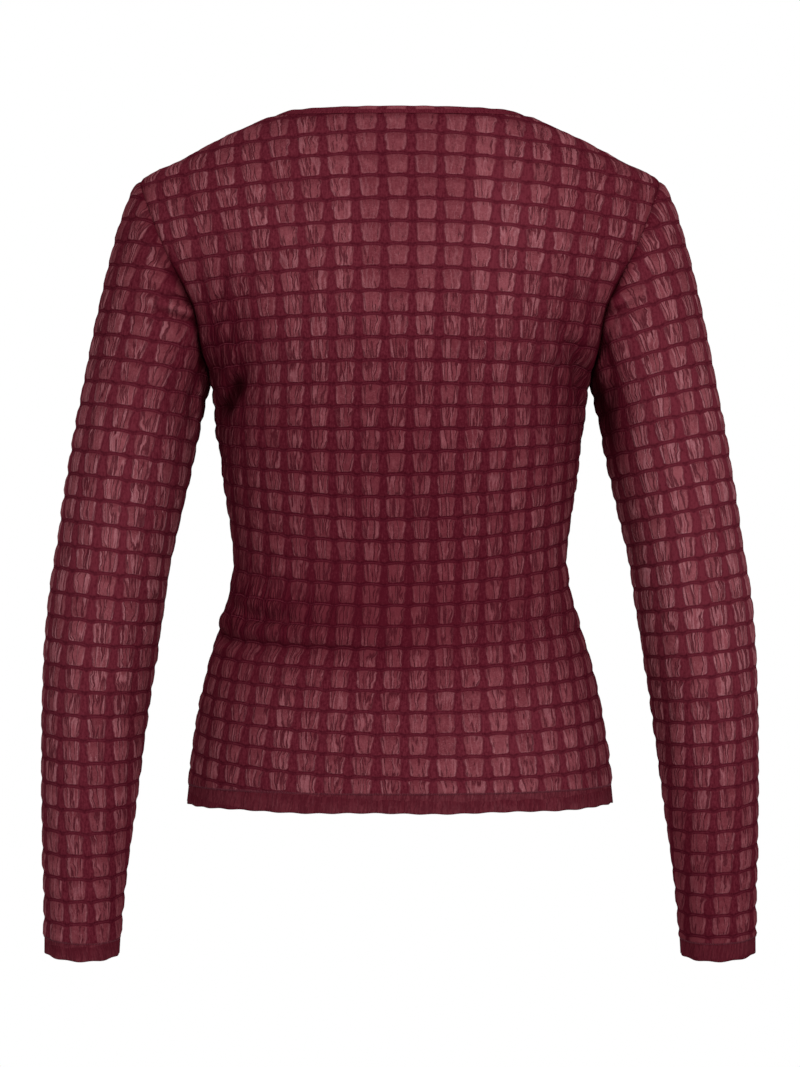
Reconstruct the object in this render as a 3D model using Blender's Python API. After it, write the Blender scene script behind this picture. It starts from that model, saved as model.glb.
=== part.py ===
"""Long-sleeved crew neck top in a stretch mesh of puffed squares, hollow, as it stands when it is worn.

Metres, +Z up, front towards -Y, the wearer's left towards +X. The origin is where the shoulders carry the top:
midway between the two points where the shoulder seams meet the neck edge.

Five cut pieces: front, back, two set-in sleeves and the folded neck binding. Each panel is worked out like a flat
pattern: the seam lines make its outline, the lines of the puffed grid cross it, and the surface of the worn
garment carries every point of the pattern to its place.
"""

import math

import bmesh
import bpy
import numpy as np
from mathutils import Vector
from mathutils.geometry import delaunay_2d_cdt

# Driving sizes.
CLOTH = 0.0012  # thickness of the cloth between its puffs
HEM_CLOTH = 0.0022  # two layers, at the turned hem and cuffs
PUFF = 0.0018  # height of a puffed square over the grid lines
PUFF_SAG = 0.12  # how far the top of a puff hangs below its middle, as a share of the row
SEAM_GAP = 0.0003
HEM_Z = -0.5507
HEM_DEPTH = 0.0153
CUFF_DEPTH = 0.0145
NECK_ROUNDNESS = 1.5
# Height at the shoulder and the drop from there to the middle of the back and of the front.
NECK_EDGE = (0.0, 0.0, 0.0700)
NECK_SEAM = (-0.0032, 0.0037, 0.0752)
BINDING_CLOTH = 0.0024
GRID_MARGIN = 0.0035  # a grid point nearer than this to a seam is left out
SEAM_STEP = 0.0125  # spacing of the points along hems and seams
ARMHOLE_STEPS = 18  # from the shoulder point to the underarm, on each panel
NECK_STEPS = 18  # from one shoulder seam to the other, on each panel

# Sections of the torso, from the hem up. Above the underarm a section carries on past the armhole's edge, as if
# the panel went on round the arm, and above -0.056 its ends are the shoulder line.
TORSO = (
    # height, half width, back depth, front depth, roundness
    (-0.5507, 0.1696, 0.1150, 0.1090, 2.20),
    (-0.5104, 0.1652, 0.1125, 0.1085, 2.20),
    (-0.4704, 0.1588, 0.1040, 0.1070, 2.20),
    (-0.4304, 0.1492, 0.0910, 0.1035, 2.20),
    (-0.3904, 0.1370, 0.0795, 0.0985, 2.20),
    (-0.3624, 0.1322, 0.0770, 0.0980, 2.20),
    (-0.3344, 0.1344, 0.0800, 0.1020, 2.20),
    (-0.2944, 0.1404, 0.0885, 0.1150, 2.15),
    (-0.2544, 0.1452, 0.0970, 0.1280, 2.10),
    (-0.2304, 0.1475, 0.1005, 0.1300, 2.05),
    (-0.2130, 0.1520, 0.1025, 0.1290, 2.00),
    (-0.1910, 0.1700, 0.1035, 0.1240, 2.00),
    (-0.1624, 0.1890, 0.1025, 0.1130, 2.00),
    (-0.1390, 0.2090, 0.1000, 0.1020, 2.00),
    (-0.1200, 0.2220, 0.0975, 0.0925, 2.00),
    (-0.0960, 0.2290, 0.0915, 0.0815, 2.00),
    (-0.0736, 0.2220, 0.0845, 0.0730, 2.00),
    (-0.0544, 0.2045, 0.0770, 0.0665, 2.00),
    (-0.0384, 0.1725, 0.0690, 0.0600, 2.00),
    (-0.0224, 0.1425, 0.0595, 0.0530, 2.00),
    (-0.0100, 0.1160, 0.0495, 0.0465, 2.00),
    (0.0000, 0.0900, 0.0410, 0.0400, 2.00),
)
HEIGHT, HALF_WIDTH, BACK_DEPTH, FRONT_DEPTH, ROUNDNESS = np.array(TORSO).T

# The armhole is an ellipse seen from the side.
SHOULDER_Z = -0.0560
UNDERARM_Z = -0.2130
ARMHOLE_BACK = 0.0570
ARMHOLE_FRONT = 0.0570

# Sections of the sleeve's tube, from the cuff up to the level of the underarm, for the wearer's left arm.
SLEEVE = (
    # across, back, height, half width, half depth
    (0.2568, -0.0218, -0.6748, 0.0296, 0.0318),
    (0.2548, -0.0180, -0.6330, 0.0309, 0.0338),
    (0.2524, -0.0135, -0.5915, 0.0340, 0.0366),
    (0.2496, -0.0090, -0.5510, 0.0370, 0.0396),
    (0.2466, -0.0050, -0.5105, 0.0396, 0.0420),
    (0.2434, -0.0015, -0.4704, 0.0418, 0.0440),
    (0.2392, 0.0010, -0.4304, 0.0441, 0.0463),
    (0.2342, 0.0025, -0.3904, 0.0453, 0.0482),
    (0.2280, 0.0030, -0.3504, 0.0450, 0.0497),
    (0.2206, 0.0025, -0.3104, 0.0466, 0.0512),
    (0.2130, 0.0015, -0.2704, 0.0477, 0.0525),
    (0.2060, 0.0000, -0.2330, 0.0480, 0.0540),
)
ARM_X, ARM_Y, ARM_Z, ARM_HALF_WIDTH, ARM_HALF_DEPTH = np.array(SLEEVE).T
ARM_AXIS = np.stack([ARM_X, ARM_Y, ARM_Z], axis=1)
ARM_ALONG = np.concatenate([[0.0], np.cumsum(np.linalg.norm(np.diff(ARM_AXIS, axis=0), axis=1))])

# The sleeve head leaves the shoulder along this slope and turns down the arm.
SHOULDER_SLOPE = (0.90, 0.0, -0.44)
UNDERARM_SLOPE = (0.24, 0.0, -0.97)
HEAD_FULLNESS = 0.28
ARM_FULLNESS = 1.10

# The puffed grid of the front and back. Heights of its lines at the centre, by the line's number.
TORSO_LINES = (
    # line, height
    (0, -0.5248),
    (5, -0.4425),
    (10, -0.3609),
    (15, -0.2750),
    (20, -0.1875),
    (25, -0.0974),
    (30, -0.0063),
)
# Width of its squares and how far it stands off the centre, in squares, by height.
TORSO_COLUMNS = (
    # height, width, offset
    (-0.5507, 0.0220, 0.33),
    (-0.5050, 0.0213, 0.34),
    (-0.4730, 0.0206, 0.33),
    (-0.4090, 0.0193, 0.21),
    (-0.3750, 0.0191, 0.14),
    (-0.3130, 0.0195, 0.17),
    (-0.2450, 0.0201, 0.12),
    (-0.2170, 0.0201, 0.08),
    (-0.1530, 0.0206, 0.05),
    (-0.0890, 0.0217, 0.06),
    (-0.0250, 0.0233, 0.12),
    (0.0000, 0.0240, 0.13),
)
# Its lines fall towards the shoulders, rise over the hips and tilt a little.
TORSO_BOW = (
    # height, fall at 0.2 m from the centre, tilt
    (-0.5507, -0.0085, 0.034),
    (-0.4950, -0.0105, 0.016),
    (-0.4500, -0.0120, -0.003),
    (-0.3950, -0.0180, -0.010),
    (-0.3600, -0.0260, -0.010),
    (-0.3300, -0.0254, -0.008),
    (-0.3000, -0.0185, -0.008),
    (-0.2700, -0.0110, -0.005),
    (-0.2400, -0.0034, 0.000),
    (-0.2000, 0.0045, 0.003),
    (-0.1700, 0.0090, 0.002),
    (-0.1000, 0.0152, 0.001),
    (0.0000, 0.0205, 0.005),
)
MOST_COLUMNS = 13  # to each side of the centre

# The grid of each sleeve, by the distance from the cuff.
LEFT_LINES = (
    # line, distance
    (0, 0.0270),
    (9, 0.1957),
    (14, 0.2877),
    (18, 0.3605),
    (22, 0.4345),
    (30, 0.5849),
)
LEFT_COLUMNS = (
    # distance, width, offset, fall of the lines at the back of the arm
    (0.020, 0.0203, -0.56, -0.0020),
    (0.100, 0.0205, -0.55, -0.0020),
    (0.200, 0.0205, -0.47, -0.0020),
    (0.280, 0.0209, -0.33, -0.0020),
    (0.320, 0.0209, -0.41, -0.0022),
    (0.360, 0.0210, -0.56, -0.0026),
    (0.400, 0.0215, -0.71, -0.0026),
    (0.435, 0.0223, -0.82, -0.0024),
    (0.480, 0.0228, -0.90, -0.0015),
    (0.530, 0.0228, -1.02, -0.0005),
    (0.600, 0.0228, -1.10, 0.0000),
)
RIGHT_LINES = (
    # line, distance
    (0, 0.0362),
    (3, 0.0882),
    (6, 0.1406),
    (9, 0.1937),
    (12, 0.2464),
    (15, 0.3012),
    (18, 0.3563),
    (22, 0.4309),
    (26, 0.5065),
    (30, 0.5832),
)
RIGHT_COLUMNS = (
    # distance, width, offset, fall of the lines at the back of the arm
    (0.020, 0.0204, -0.56, 0.0000),
    (0.100, 0.0207, -0.54, 0.0000),
    (0.200, 0.0205, -0.39, 0.0000),
    (0.250, 0.0206, -0.23, 0.0000),
    (0.300, 0.0206, -0.18, 0.0000),
    (0.360, 0.0209, -0.22, 0.0003),
    (0.400, 0.0216, -0.23, 0.0009),
    (0.435, 0.0221, -0.25, 0.0020),
    (0.470, 0.0217, -0.22, 0.0045),
    (0.550, 0.0208, -0.20, 0.0085),
    (0.600, 0.0208, -0.18, 0.0090),
)
MOST_SLEEVE_COLUMNS = 9

# Soft folds in the back, as troughs in the cloth.
BACK_FOLDS = (
    # across, height, half length, half width, depth, slope
    (0.102, -0.4060, 0.050, 0.0100, 0.0036, 0.35),
    (0.022, -0.4300, 0.055, 0.0110, 0.0024, 0.06),
    (-0.104, -0.4080, 0.045, 0.0100, 0.0022, -0.35),
    (0.150, -0.1950, 0.040, 0.0090, 0.0028, 3.50),
    (-0.150, -0.2000, 0.038, 0.0090, 0.0026, -3.50),
)


def along(knots, values, at):
    """The smooth curve through the values at the knots."""
    knots, values, at = (np.asarray(a, float) for a in (knots, values, at))
    slopes = np.gradient(values, knots)
    i = np.clip(np.searchsorted(knots, at) - 1, 0, len(knots) - 2)
    step = knots[i + 1] - knots[i]
    t = np.clip((at - knots[i]) / step, 0.0, 1.0)
    before = (1 + 2 * t) * (1 - t) ** 2 * values[i] + t * (1 - t) ** 2 * step * slopes[i]
    after = t * t * (3 - 2 * t) * values[i + 1] - t * t * (1 - t) * step * slopes[i + 1]
    return before + after


def unit(vectors):
    return vectors / np.linalg.norm(vectors, axis=-1, keepdims=True)


# The torso: a stack of rounded sections, x across and y towards the back.


def depth(z, facing):
    """How far a section reaches to the back (facing 1) or to the front (facing -1)."""
    return along(HEIGHT, BACK_DEPTH if facing > 0 else FRONT_DEPTH, z)


def torso_at(across, z, facing):
    """The point of the torso at this distance across, on its back or front."""
    reach, n = along(HEIGHT, HALF_WIDTH, z), along(HEIGHT, ROUNDNESS, z)
    share = np.clip(np.abs(across) / reach, 0.0, 1.0)
    y = facing * depth(z, facing) * (1 - share**n) ** (1 / n)
    return np.stack([np.sign(across) * share * reach, y, z + 0 * across], axis=-1)


def torso_normal(point, facing):
    """The way out of the cloth. On the side seams and the shoulder line it has no y, whichever panel asks."""
    x, y, z = point[..., 0], point[..., 1], point[..., 2]
    n = along(HEIGHT, ROUNDNESS, z)
    step = 0.0005
    reach, far = along(HEIGHT, HALF_WIDTH, z), depth(z, facing)
    widening = (along(HEIGHT, HALF_WIDTH, z + step) - along(HEIGHT, HALF_WIDTH, z - step)) / (2 * step)
    deepening = (depth(z + step, facing) - depth(z - step, facing)) / (2 * step)
    u, v = np.abs(x) / reach, np.abs(y) / far
    out_x = np.sign(x) * u ** (n - 1) / reach
    out_y = facing * v ** (n - 1) / far
    out_z = -(u**n) * widening / reach - v**n * deepening / far
    return unit(np.stack([out_x, out_y, out_z], axis=-1))


def section_arc(z, facing, steps=96):
    """(distance round the section from its middle, distance across), from the middle to the side."""
    angle = np.linspace(0.0, math.pi / 2, steps)
    n = float(along(HEIGHT, ROUNDNESS, z))
    x = float(along(HEIGHT, HALF_WIDTH, z)) * np.sin(angle) ** (2 / n)
    y = float(depth(z, facing)) * np.cos(angle) ** (2 / n)
    return np.concatenate([[0.0], np.cumsum(np.hypot(np.diff(x), np.diff(y)))]), x


def across_to_round(across, z, facing):
    """Distance round the section for a distance across."""
    arc, x = section_arc(z, facing)
    return math.copysign(np.interp(abs(across), x, arc), across)


def round_to_across(distance, z, facing):
    arc, x = section_arc(z, facing)
    return math.copysign(np.interp(abs(distance), arc, x), distance)


def back_folds(point):
    """How far the back's cloth is pressed in by its folds."""
    total = 0.0
    for across, height, half_length, half_width, deep, slope in BACK_FOLDS:
        dx, dz = point[..., 0] - across, point[..., 2] - height
        turn = math.atan(slope)
        lengthways = dx * math.cos(turn) + dz * math.sin(turn)
        sideways = dz * math.cos(turn) - dx * math.sin(turn)
        total = total + deep * np.exp(-((lengthways / half_length) ** 2) - (sideways / half_width) ** 2)
    return total


def armhole(angle):
    """The seam between panel and sleeve on the wearer's left: 0 at the shoulder, pi at the underarm, back above 0."""
    z = (SHOULDER_Z + UNDERARM_Z) / 2 + (SHOULDER_Z - UNDERARM_Z) / 2 * np.cos(angle)
    back = np.sin(angle) >= 0
    y = np.where(back, ARMHOLE_BACK, ARMHOLE_FRONT) * np.sin(angle)
    far = np.where(back, depth(z, 1), depth(z, -1))
    n = along(HEIGHT, ROUNDNESS, z)
    x = along(HEIGHT, HALF_WIDTH, z) * (1 - np.abs(y / far) ** n) ** (1 / n)
    return np.stack([x, y, z], axis=-1)


def neck_line(line, angle, facing):
    """A line round the neck: angle 0 on the wearer's left shoulder, pi on the right one."""
    height, back_drop, front_drop = line
    drop = back_drop * np.sin(angle) if facing > 0 else front_drop * np.sin(angle) ** NECK_ROUNDNESS
    across = along(HEIGHT, HALF_WIDTH, height) * np.cos(angle)
    return torso_at(across, height - drop, facing)


# Flat patterns: an outline and a grid, cut into the faces of a panel.


def inside(points, outline, margin):
    """Which points lie inside the outline and at least the margin away from it."""
    a, b = outline, np.roll(outline, -1, axis=0)
    p = points[:, None, :]
    crosses = (a[:, 1] > p[..., 1]) != (b[:, 1] > p[..., 1])
    rise = np.where(b[:, 1] == a[:, 1], 1.0, b[:, 1] - a[:, 1])
    at = a[:, 0] + (p[..., 1] - a[:, 1]) * (b[:, 0] - a[:, 0]) / rise
    within = (crosses & (p[..., 0] < at)).sum(axis=1) % 2 == 1
    t = np.clip(((p - a) * (b - a)).sum(-1) / ((b - a) ** 2).sum(-1), 0.0, 1.0)
    away = np.linalg.norm(p - a - t[..., None] * (b - a), axis=-1).min(axis=1)
    return within & (away > margin)


def cut_pattern(outline, corners):
    """Cuts a panel along its outline and the lines of the grid.

    outline is the panel's edge and corners[row][column] the grid's crossings, both as points of the flat pattern.
    Returns the pattern's points, the triangles, which points are the tops of puffs and how high each stands, and
    the whole squares as (four corners, top).
    """
    rows, columns = corners.shape[:2]
    kept = inside(corners.reshape(-1, 2), outline, GRID_MARGIN).reshape(rows, columns)
    number = np.full((rows, columns), -1)
    number[kept] = len(outline) + np.arange(kept.sum())
    points = [*outline, *corners[kept]]
    edges = [(i, (i + 1) % len(outline)) for i in range(len(outline))]
    height, squares = {}, []
    for r in range(rows - 1):
        for c in range(columns - 1):
            ring = [number[r, c], number[r, c + 1], number[r + 1, c + 1], number[r + 1, c]]
            middle = (corners[r, c] + corners[r, c + 1] + corners[r + 1, c] + corners[r + 1, c + 1]) / 4
            middle = middle - PUFF_SAG * (corners[r + 1, c] - corners[r, c])
            whole = min(ring) >= 0
            if whole or inside(middle[None], outline, 2 * GRID_MARGIN)[0]:
                height[len(points)] = 1.0 if whole else 0.5
                if whole:
                    squares.append((tuple(ring), len(points)))
                    edges += [(ring[k], ring[(k + 1) % 4]) for k in range(4)]
                points.append(middle)
    loop = list(range(len(outline)))
    flat = [Vector(p) for p in points]
    made, _, triangles, origin, _, _ = delaunay_2d_cdt(flat, edges, [loop], 1, 1e-6)
    if len(made) != len(points):
        raise ValueError("two points of a pattern coincide")
    back = [o[0] for o in origin]
    return np.array(points), [tuple(back[i] for i in t) for t in triangles], height, squares


def wall(name, material, outer, inward, pattern):
    """A closed wall of cloth: the puffs stand on its outside and its inside is plain.

    outer is where the pattern's points lie and inward how far and which way each goes to the inside.
    """
    _, triangles, height, squares = pattern
    outward = -unit(inward)
    inner = outer + inward
    raised = outer.copy()
    for point, share in height.items():
        raised[point] += PUFF * share * outward[point]
    _, first, same = np.unique(np.round(outer, 6), axis=0, return_index=True, return_inverse=True)
    same = first[same.reshape(-1)]
    tops = {top for _, top in squares}
    shell = [tuple(same[i] for i in t) for t in triangles]
    lining = [t for t in shell if not tops & set(t)] + [tuple(same[i] for i in ring) for ring, _ in squares]
    if signed_side(raised, shell, outward) < 0:
        shell = [t[::-1] for t in shell]
    if signed_side(raised, lining, outward) > 0:
        lining = [t[::-1] for t in lining]
    ways = {(f[i], f[(i + 1) % len(f)]) for f in shell for i in range(len(f))}
    n = len(outer)
    rim = [(b, a, a + n, b + n) for a, b in ways if (b, a) not in ways]
    faces = shell + [tuple(i + n for i in f) for f in lining] + sorted(rim)
    mesh = bpy.data.meshes.new(name)
    mesh.from_pydata([tuple(p) for p in [*raised, *inner]], [], faces)
    return finish(name, mesh, material)


def signed_side(points, faces, outward):
    """Above 0 where most faces look outwards."""
    total = 0.0
    for f in faces:
        a, b, c = points[f[0]], points[f[1]], points[f[2]]
        total += np.dot(np.cross(b - a, c - a), outward[f[0]])
    return total


def finish(name, mesh, material):
    bm = bmesh.new()
    bm.from_mesh(mesh)
    bmesh.ops.delete(bm, geom=[v for v in bm.verts if not v.link_faces], context="VERTS")
    bmesh.ops.recalc_face_normals(bm, faces=bm.faces)
    bm.to_mesh(mesh)
    bm.free()
    mesh.shade_smooth()
    mesh.set_sharp_from_angle(angle=math.radians(50))
    mesh.materials.append(material)
    piece = bpy.data.objects.new(name, mesh)
    TOP.objects.link(piece)
    return piece


# Front and back.


def torso_corners():
    """The grid's crossings on a torso panel, as (distance round from the centre, height)."""
    lines, heights = np.array(TORSO_LINES).T
    rows = [HEM_Z + HEM_DEPTH, *along(lines, heights, np.arange(lines[-1] + 1))]
    at, widths, offsets = np.array(TORSO_COLUMNS).T
    bow_at, falls, tilts = np.array(TORSO_BOW).T
    columns = np.arange(-MOST_COLUMNS, MOST_COLUMNS) + 0.5
    corners = []
    for row, z in enumerate(rows):
        distance = (columns + along(at, offsets, z)) * along(at, widths, z)
        shift = along(bow_at, tilts, z) * distance - along(bow_at, falls, z) * (distance / 0.2) ** 2
        corners.append(np.stack([distance, z + (row > 0) * shift], axis=1))
    return np.array(corners)


def torso_outline(facing):
    """The edge of the front or back, as worn: hem, side seam, armhole, shoulder, neck, and back down."""
    hem_half = section_arc(HEM_Z, facing)[0][-1]
    side_rows = int((UNDERARM_Z - HEM_Z) / SEAM_STEP)
    side_z = np.linspace(HEM_Z, UNDERARM_Z, side_rows + 1)[1:-1]
    hem = np.linspace(-hem_half, hem_half, 2 * int(hem_half / SEAM_STEP) + 1)
    edge = [torso_at(np.array(round_to_across(d, HEM_Z, facing)), np.array(HEM_Z), facing) for d in hem]
    left = [torso_at(along(HEIGHT, HALF_WIDTH, z), np.array(z), facing) for z in side_z]
    left += [*armhole(facing * np.linspace(math.pi, 0.0, ARMHOLE_STEPS + 1))]
    neck = [neck_line(NECK_SEAM, a, facing) for a in np.linspace(0.0, math.pi, NECK_STEPS + 1)]
    shoulder_z = np.linspace(SHOULDER_Z, neck[0][2], 10)[1:-1]
    left += [torso_at(along(HEIGHT, HALF_WIDTH, z), np.array(z), facing) for z in shoulder_z]
    right = [p * (-1, 1, 1) for p in reversed(left)]
    return np.array(edge + left + neck + right)


def torso_panel(name, material, facing):
    edge = torso_outline(facing)
    outline = np.array([(across_to_round(p[0], p[2], facing), p[2]) for p in edge])
    pattern = cut_pattern(outline, torso_corners())
    flat = pattern[0]
    across = np.array([round_to_across(d, z, facing) for d, z in flat])
    outer = torso_at(across, flat[:, 1], facing)
    outer[: len(edge)] = edge
    normal = torso_normal(outer, facing)
    on_seam = np.abs(outer[:, 1]) < SEAM_GAP
    outer[on_seam, 1] = facing * SEAM_GAP / 2
    normal[on_seam, 1] = 0.0
    normal = unit(normal)
    if facing > 0:
        inner_part = ~np.isin(np.arange(len(flat)), np.arange(len(edge)))
        outer -= normal * (back_folds(outer) * inner_part)[:, None]
    thickness = np.where(flat[:, 1] <= HEM_Z + HEM_DEPTH + 1e-6, HEM_CLOTH, CLOTH)
    return wall(name, material, outer, -normal * thickness[:, None], pattern)


# Sleeves.


def sleeve_ring(angle, distance):
    """The tube's points at a distance from the cuff: angle 0 outside, pi under the arm, back above 0."""
    step = 0.002
    before, centre, after = (
        np.stack([along(ARM_ALONG, c, distance + d) for c in ARM_AXIS.T], axis=-1) for d in (-step, 0.0, step)
    )
    way = unit(after - before)
    out = unit(np.array([1.0, 0.0, 0.0]) - way[..., :1] * way)
    wide = along(ARM_ALONG, ARM_HALF_WIDTH, distance) * np.cos(angle)
    deep = along(ARM_ALONG, ARM_HALF_DEPTH, distance) * np.sin(angle)
    return centre + out * wide[..., None] + np.cross(way, out) * deep[..., None]


def sleeve_head(angle, t):
    """The head's surface, from the tube's top ring (t = 0) to a seam's gap outside the armhole (t = 1)."""
    share = ((1 - np.cos(angle)) / 2)[..., None]
    slope = unit((1 - share) * np.array(SHOULDER_SLOPE) + share * np.array(UNDERARM_SLOPE))
    gap = unit((1 - share) * np.array(SHOULDER_SLOPE) + share * np.array([1.0, 0.0, 0.0]))
    seam = armhole(angle) + SEAM_GAP * gap
    ring = sleeve_ring(angle, np.full_like(angle, ARM_ALONG[-1]))
    below = sleeve_ring(angle, np.full_like(angle, ARM_ALONG[-1] - 0.004))
    chord = np.linalg.norm(seam - ring, axis=-1, keepdims=True)
    t = t[..., None]
    head = (1 + 2 * t) * (1 - t) ** 2 * ring + t * (1 - t) ** 2 * ARM_FULLNESS * chord * unit(ring - below)
    return head + t * t * (3 - 2 * t) * seam + t * t * (1 - t) * HEAD_FULLNESS * chord * slope


def head_lengths(angle, steps=40):
    """(curves up the head, distance along them)."""
    t = np.linspace(0.0, 1.0, steps + 1)
    curve = sleeve_head(angle[:, None] + 0 * t, t + 0 * angle[:, None])
    run = np.linalg.norm(np.diff(curve, axis=1), axis=-1)
    return curve, np.concatenate([np.zeros((len(angle), 1)), np.cumsum(run, axis=1)], axis=1)


def sleeve_at(angle, distance):
    """Points of the sleeve; the distance is from the cuff, along the arm and then up the head."""
    top = ARM_ALONG[-1]
    tube = sleeve_ring(angle, np.minimum(distance, top))
    curve, far = head_lengths(angle)
    i = np.clip((far < (distance - top)[:, None]).sum(axis=1) - 1, 0, far.shape[1] - 2)
    n = np.arange(len(i))
    share = ((distance - top - far[n, i]) / (far[n, i + 1] - far[n, i]))[:, None]
    head = curve[n, i] + share * (curve[n, i + 1] - curve[n, i])
    return np.where((distance > top)[:, None], head, tube)


def sleeve_normal(angle, distance):
    turn, step = 0.02, 0.0008
    round_it = sleeve_at(angle + turn, distance) - sleeve_at(angle - turn, distance)
    up_it = sleeve_at(angle, distance + step) - sleeve_at(angle, distance - step)
    return unit(np.cross(round_it, up_it))


def sleeve_length(angle):
    """From the cuff to the armhole, at each angle."""
    return ARM_ALONG[-1] + head_lengths(angle)[1][:, -1]


def girth(distance):
    """Half the distance round the tube."""
    wide = along(ARM_ALONG, ARM_HALF_WIDTH, distance)
    deep = along(ARM_ALONG, ARM_HALF_DEPTH, distance)
    return math.pi * np.sqrt((wide**2 + deep**2) / 2)


def sleeve_corners(lines_table, columns_table):
    """The grid's crossings on a sleeve, as (distance round from the outside, distance from the cuff)."""
    lines, distances = np.array(lines_table).T
    rows = np.array([CUFF_DEPTH, *along(lines, distances, np.arange(lines[-1] + 1))])
    at, widths, offsets, falls = np.array(columns_table).T
    columns = np.arange(-MOST_SLEEVE_COLUMNS, MOST_SLEEVE_COLUMNS) + 0.5
    scale = girth(ARM_ALONG[-1]) / girth(rows)
    corners = []
    for row, (v, s) in enumerate(zip(rows, scale)):
        distance = (columns + along(at, offsets, v)) * along(at, widths, v) * s
        shift = -along(at, falls, v) * (1 - np.cos(math.pi * distance / girth(ARM_ALONG[-1])))
        corners.append(np.stack([distance, v + (row > 0) * shift], axis=1))
    return np.array(corners)


def sleeve_outline():
    half = girth(ARM_ALONG[-1])
    cuff = np.linspace(-math.pi, math.pi, 25)
    head = np.linspace(math.pi, -math.pi, 2 * ARMHOLE_STEPS + 1)
    tops = sleeve_length(head)
    side = np.linspace(0.0, tops[0], int(tops[0] / SEAM_STEP) + 1)[1:-1]
    edge = [(half * a / math.pi, 0.0) for a in cuff]
    edge += [(half, v) for v in side]
    edge += [(half * a / math.pi, v) for a, v in zip(head, tops)]
    edge += [(-half, v) for v in reversed(side)]
    return np.array(edge)


def sleeve(name, material, hand, corners):
    """One sleeve: hand is 1 on the wearer's left and -1 on the right."""
    pattern = cut_pattern(sleeve_outline(), corners)
    angle = math.pi * pattern[0][:, 0] / girth(ARM_ALONG[-1])
    distance = pattern[0][:, 1]
    normal = sleeve_normal(angle, distance)
    normal[np.isclose(np.abs(angle), math.pi), 1] = 0.0
    normal = unit(normal)
    thickness = np.where(distance <= CUFF_DEPTH + 1e-6, HEM_CLOTH, CLOTH)
    side = np.array([hand, 1, 1])
    return wall(name, material, sleeve_at(angle, distance) * side, -normal * thickness[:, None] * side, pattern)


# Neck binding.


def binding(name, material):
    """The folded strip round the neck: a closed ring that stands on the panels' neck seam."""
    angles = np.linspace(0.0, math.pi, NECK_STEPS + 1)
    stations = [(a, 1) for a in angles] + [(a, -1) for a in reversed(angles[1:-1])]
    # How far up the binding and how far out of the panels' surface the corners of its section lie.
    profile = (
        # up, out
        (0.00, 0.0004),
        (0.00, 0.0004 - BINDING_CLOTH),
        (0.85, 0.0004 - BINDING_CLOTH),
        (1.00, 0.0004 - 0.7 * BINDING_CLOTH),
        (1.00, 0.0004 - 0.3 * BINDING_CLOTH),
        (0.85, 0.0004),
    )
    rings = []
    for angle, facing in stations:
        low, high = (neck_line(line, angle, facing) for line in (NECK_SEAM, NECK_EDGE))
        ways = [torso_normal(low, facing), torso_normal(high, facing)]
        if angle in (0.0, math.pi):
            ways = [unit(way * (1, 0, 1)) for way in ways]
        low = low + SEAM_GAP * unit(high - low)
        ring = []
        for up, off in profile:
            ring.append(low + (high - low) * up + off * unit((1 - up) * ways[0] + up * ways[1]))
        rings.append(ring)
    count, corners = len(rings), len(profile)
    faces = []
    for s in range(count):
        for c in range(corners):
            after, beside = (s + 1) % count, (c + 1) % corners
            faces.append(tuple(k * corners + m for k, m in ((s, c), (after, c), (after, beside), (s, beside))))
    mesh = bpy.data.meshes.new(name)
    mesh.from_pydata([tuple(p) for ring in rings for p in ring], [], faces)
    return finish(name, mesh, material)


def cloth_material(name, colour, roughness):
    material = bpy.data.materials.new(name)
    material.use_nodes = True
    shader = material.node_tree.nodes["Principled BSDF"]
    shader.inputs["Base Color"].default_value = (*colour, 1.0)
    shader.inputs["Roughness"].default_value = roughness
    shader.inputs["Metallic"].default_value = 0.0
    material.diffuse_color = (*colour, 1.0)
    return material


for old in list(bpy.data.objects):
    bpy.data.objects.remove(old)
TOP = bpy.data.collections.new("crew_neck_top")
bpy.context.scene.collection.children.link(TOP)

mesh_cloth = cloth_material("puffed_mesh", (0.150, 0.030, 0.045), 0.55)
binding_cloth = cloth_material("folded_binding", (0.105, 0.018, 0.030), 0.60)

torso_panel("back", mesh_cloth, 1)
torso_panel("front", mesh_cloth, -1)
sleeve("sleeve_left", mesh_cloth, 1, sleeve_corners(LEFT_LINES, LEFT_COLUMNS))
sleeve("sleeve_right", mesh_cloth, -1, sleeve_corners(RIGHT_LINES, RIGHT_COLUMNS))
binding("neck_binding", binding_cloth)
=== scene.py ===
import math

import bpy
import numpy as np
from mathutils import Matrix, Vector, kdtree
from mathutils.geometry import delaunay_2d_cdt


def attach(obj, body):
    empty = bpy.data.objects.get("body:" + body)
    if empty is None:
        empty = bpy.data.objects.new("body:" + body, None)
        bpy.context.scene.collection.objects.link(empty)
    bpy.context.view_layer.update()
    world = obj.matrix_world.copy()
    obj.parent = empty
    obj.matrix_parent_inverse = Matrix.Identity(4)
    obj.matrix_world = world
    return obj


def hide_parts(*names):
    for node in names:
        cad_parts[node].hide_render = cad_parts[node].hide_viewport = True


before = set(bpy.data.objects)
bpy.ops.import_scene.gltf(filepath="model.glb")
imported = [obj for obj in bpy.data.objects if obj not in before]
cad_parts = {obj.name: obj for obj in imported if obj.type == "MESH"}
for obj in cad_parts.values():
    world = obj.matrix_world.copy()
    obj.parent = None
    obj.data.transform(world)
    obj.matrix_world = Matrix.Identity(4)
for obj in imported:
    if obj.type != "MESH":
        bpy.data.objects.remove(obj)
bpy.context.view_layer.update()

# Looks of the long-sleeved crew neck top: a crinkled stretch mesh, gathered into rows of puffed squares.
#
# Metres, +Z up, front towards -Y, the wearer's left towards +X. Each panel is worked out like its flat pattern.
# Its points lie on the squares of the puffed grid, the surface of the worn garment carries them to their place,
# and the puffs, folds and seams then move them in or out of the cloth.

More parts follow.
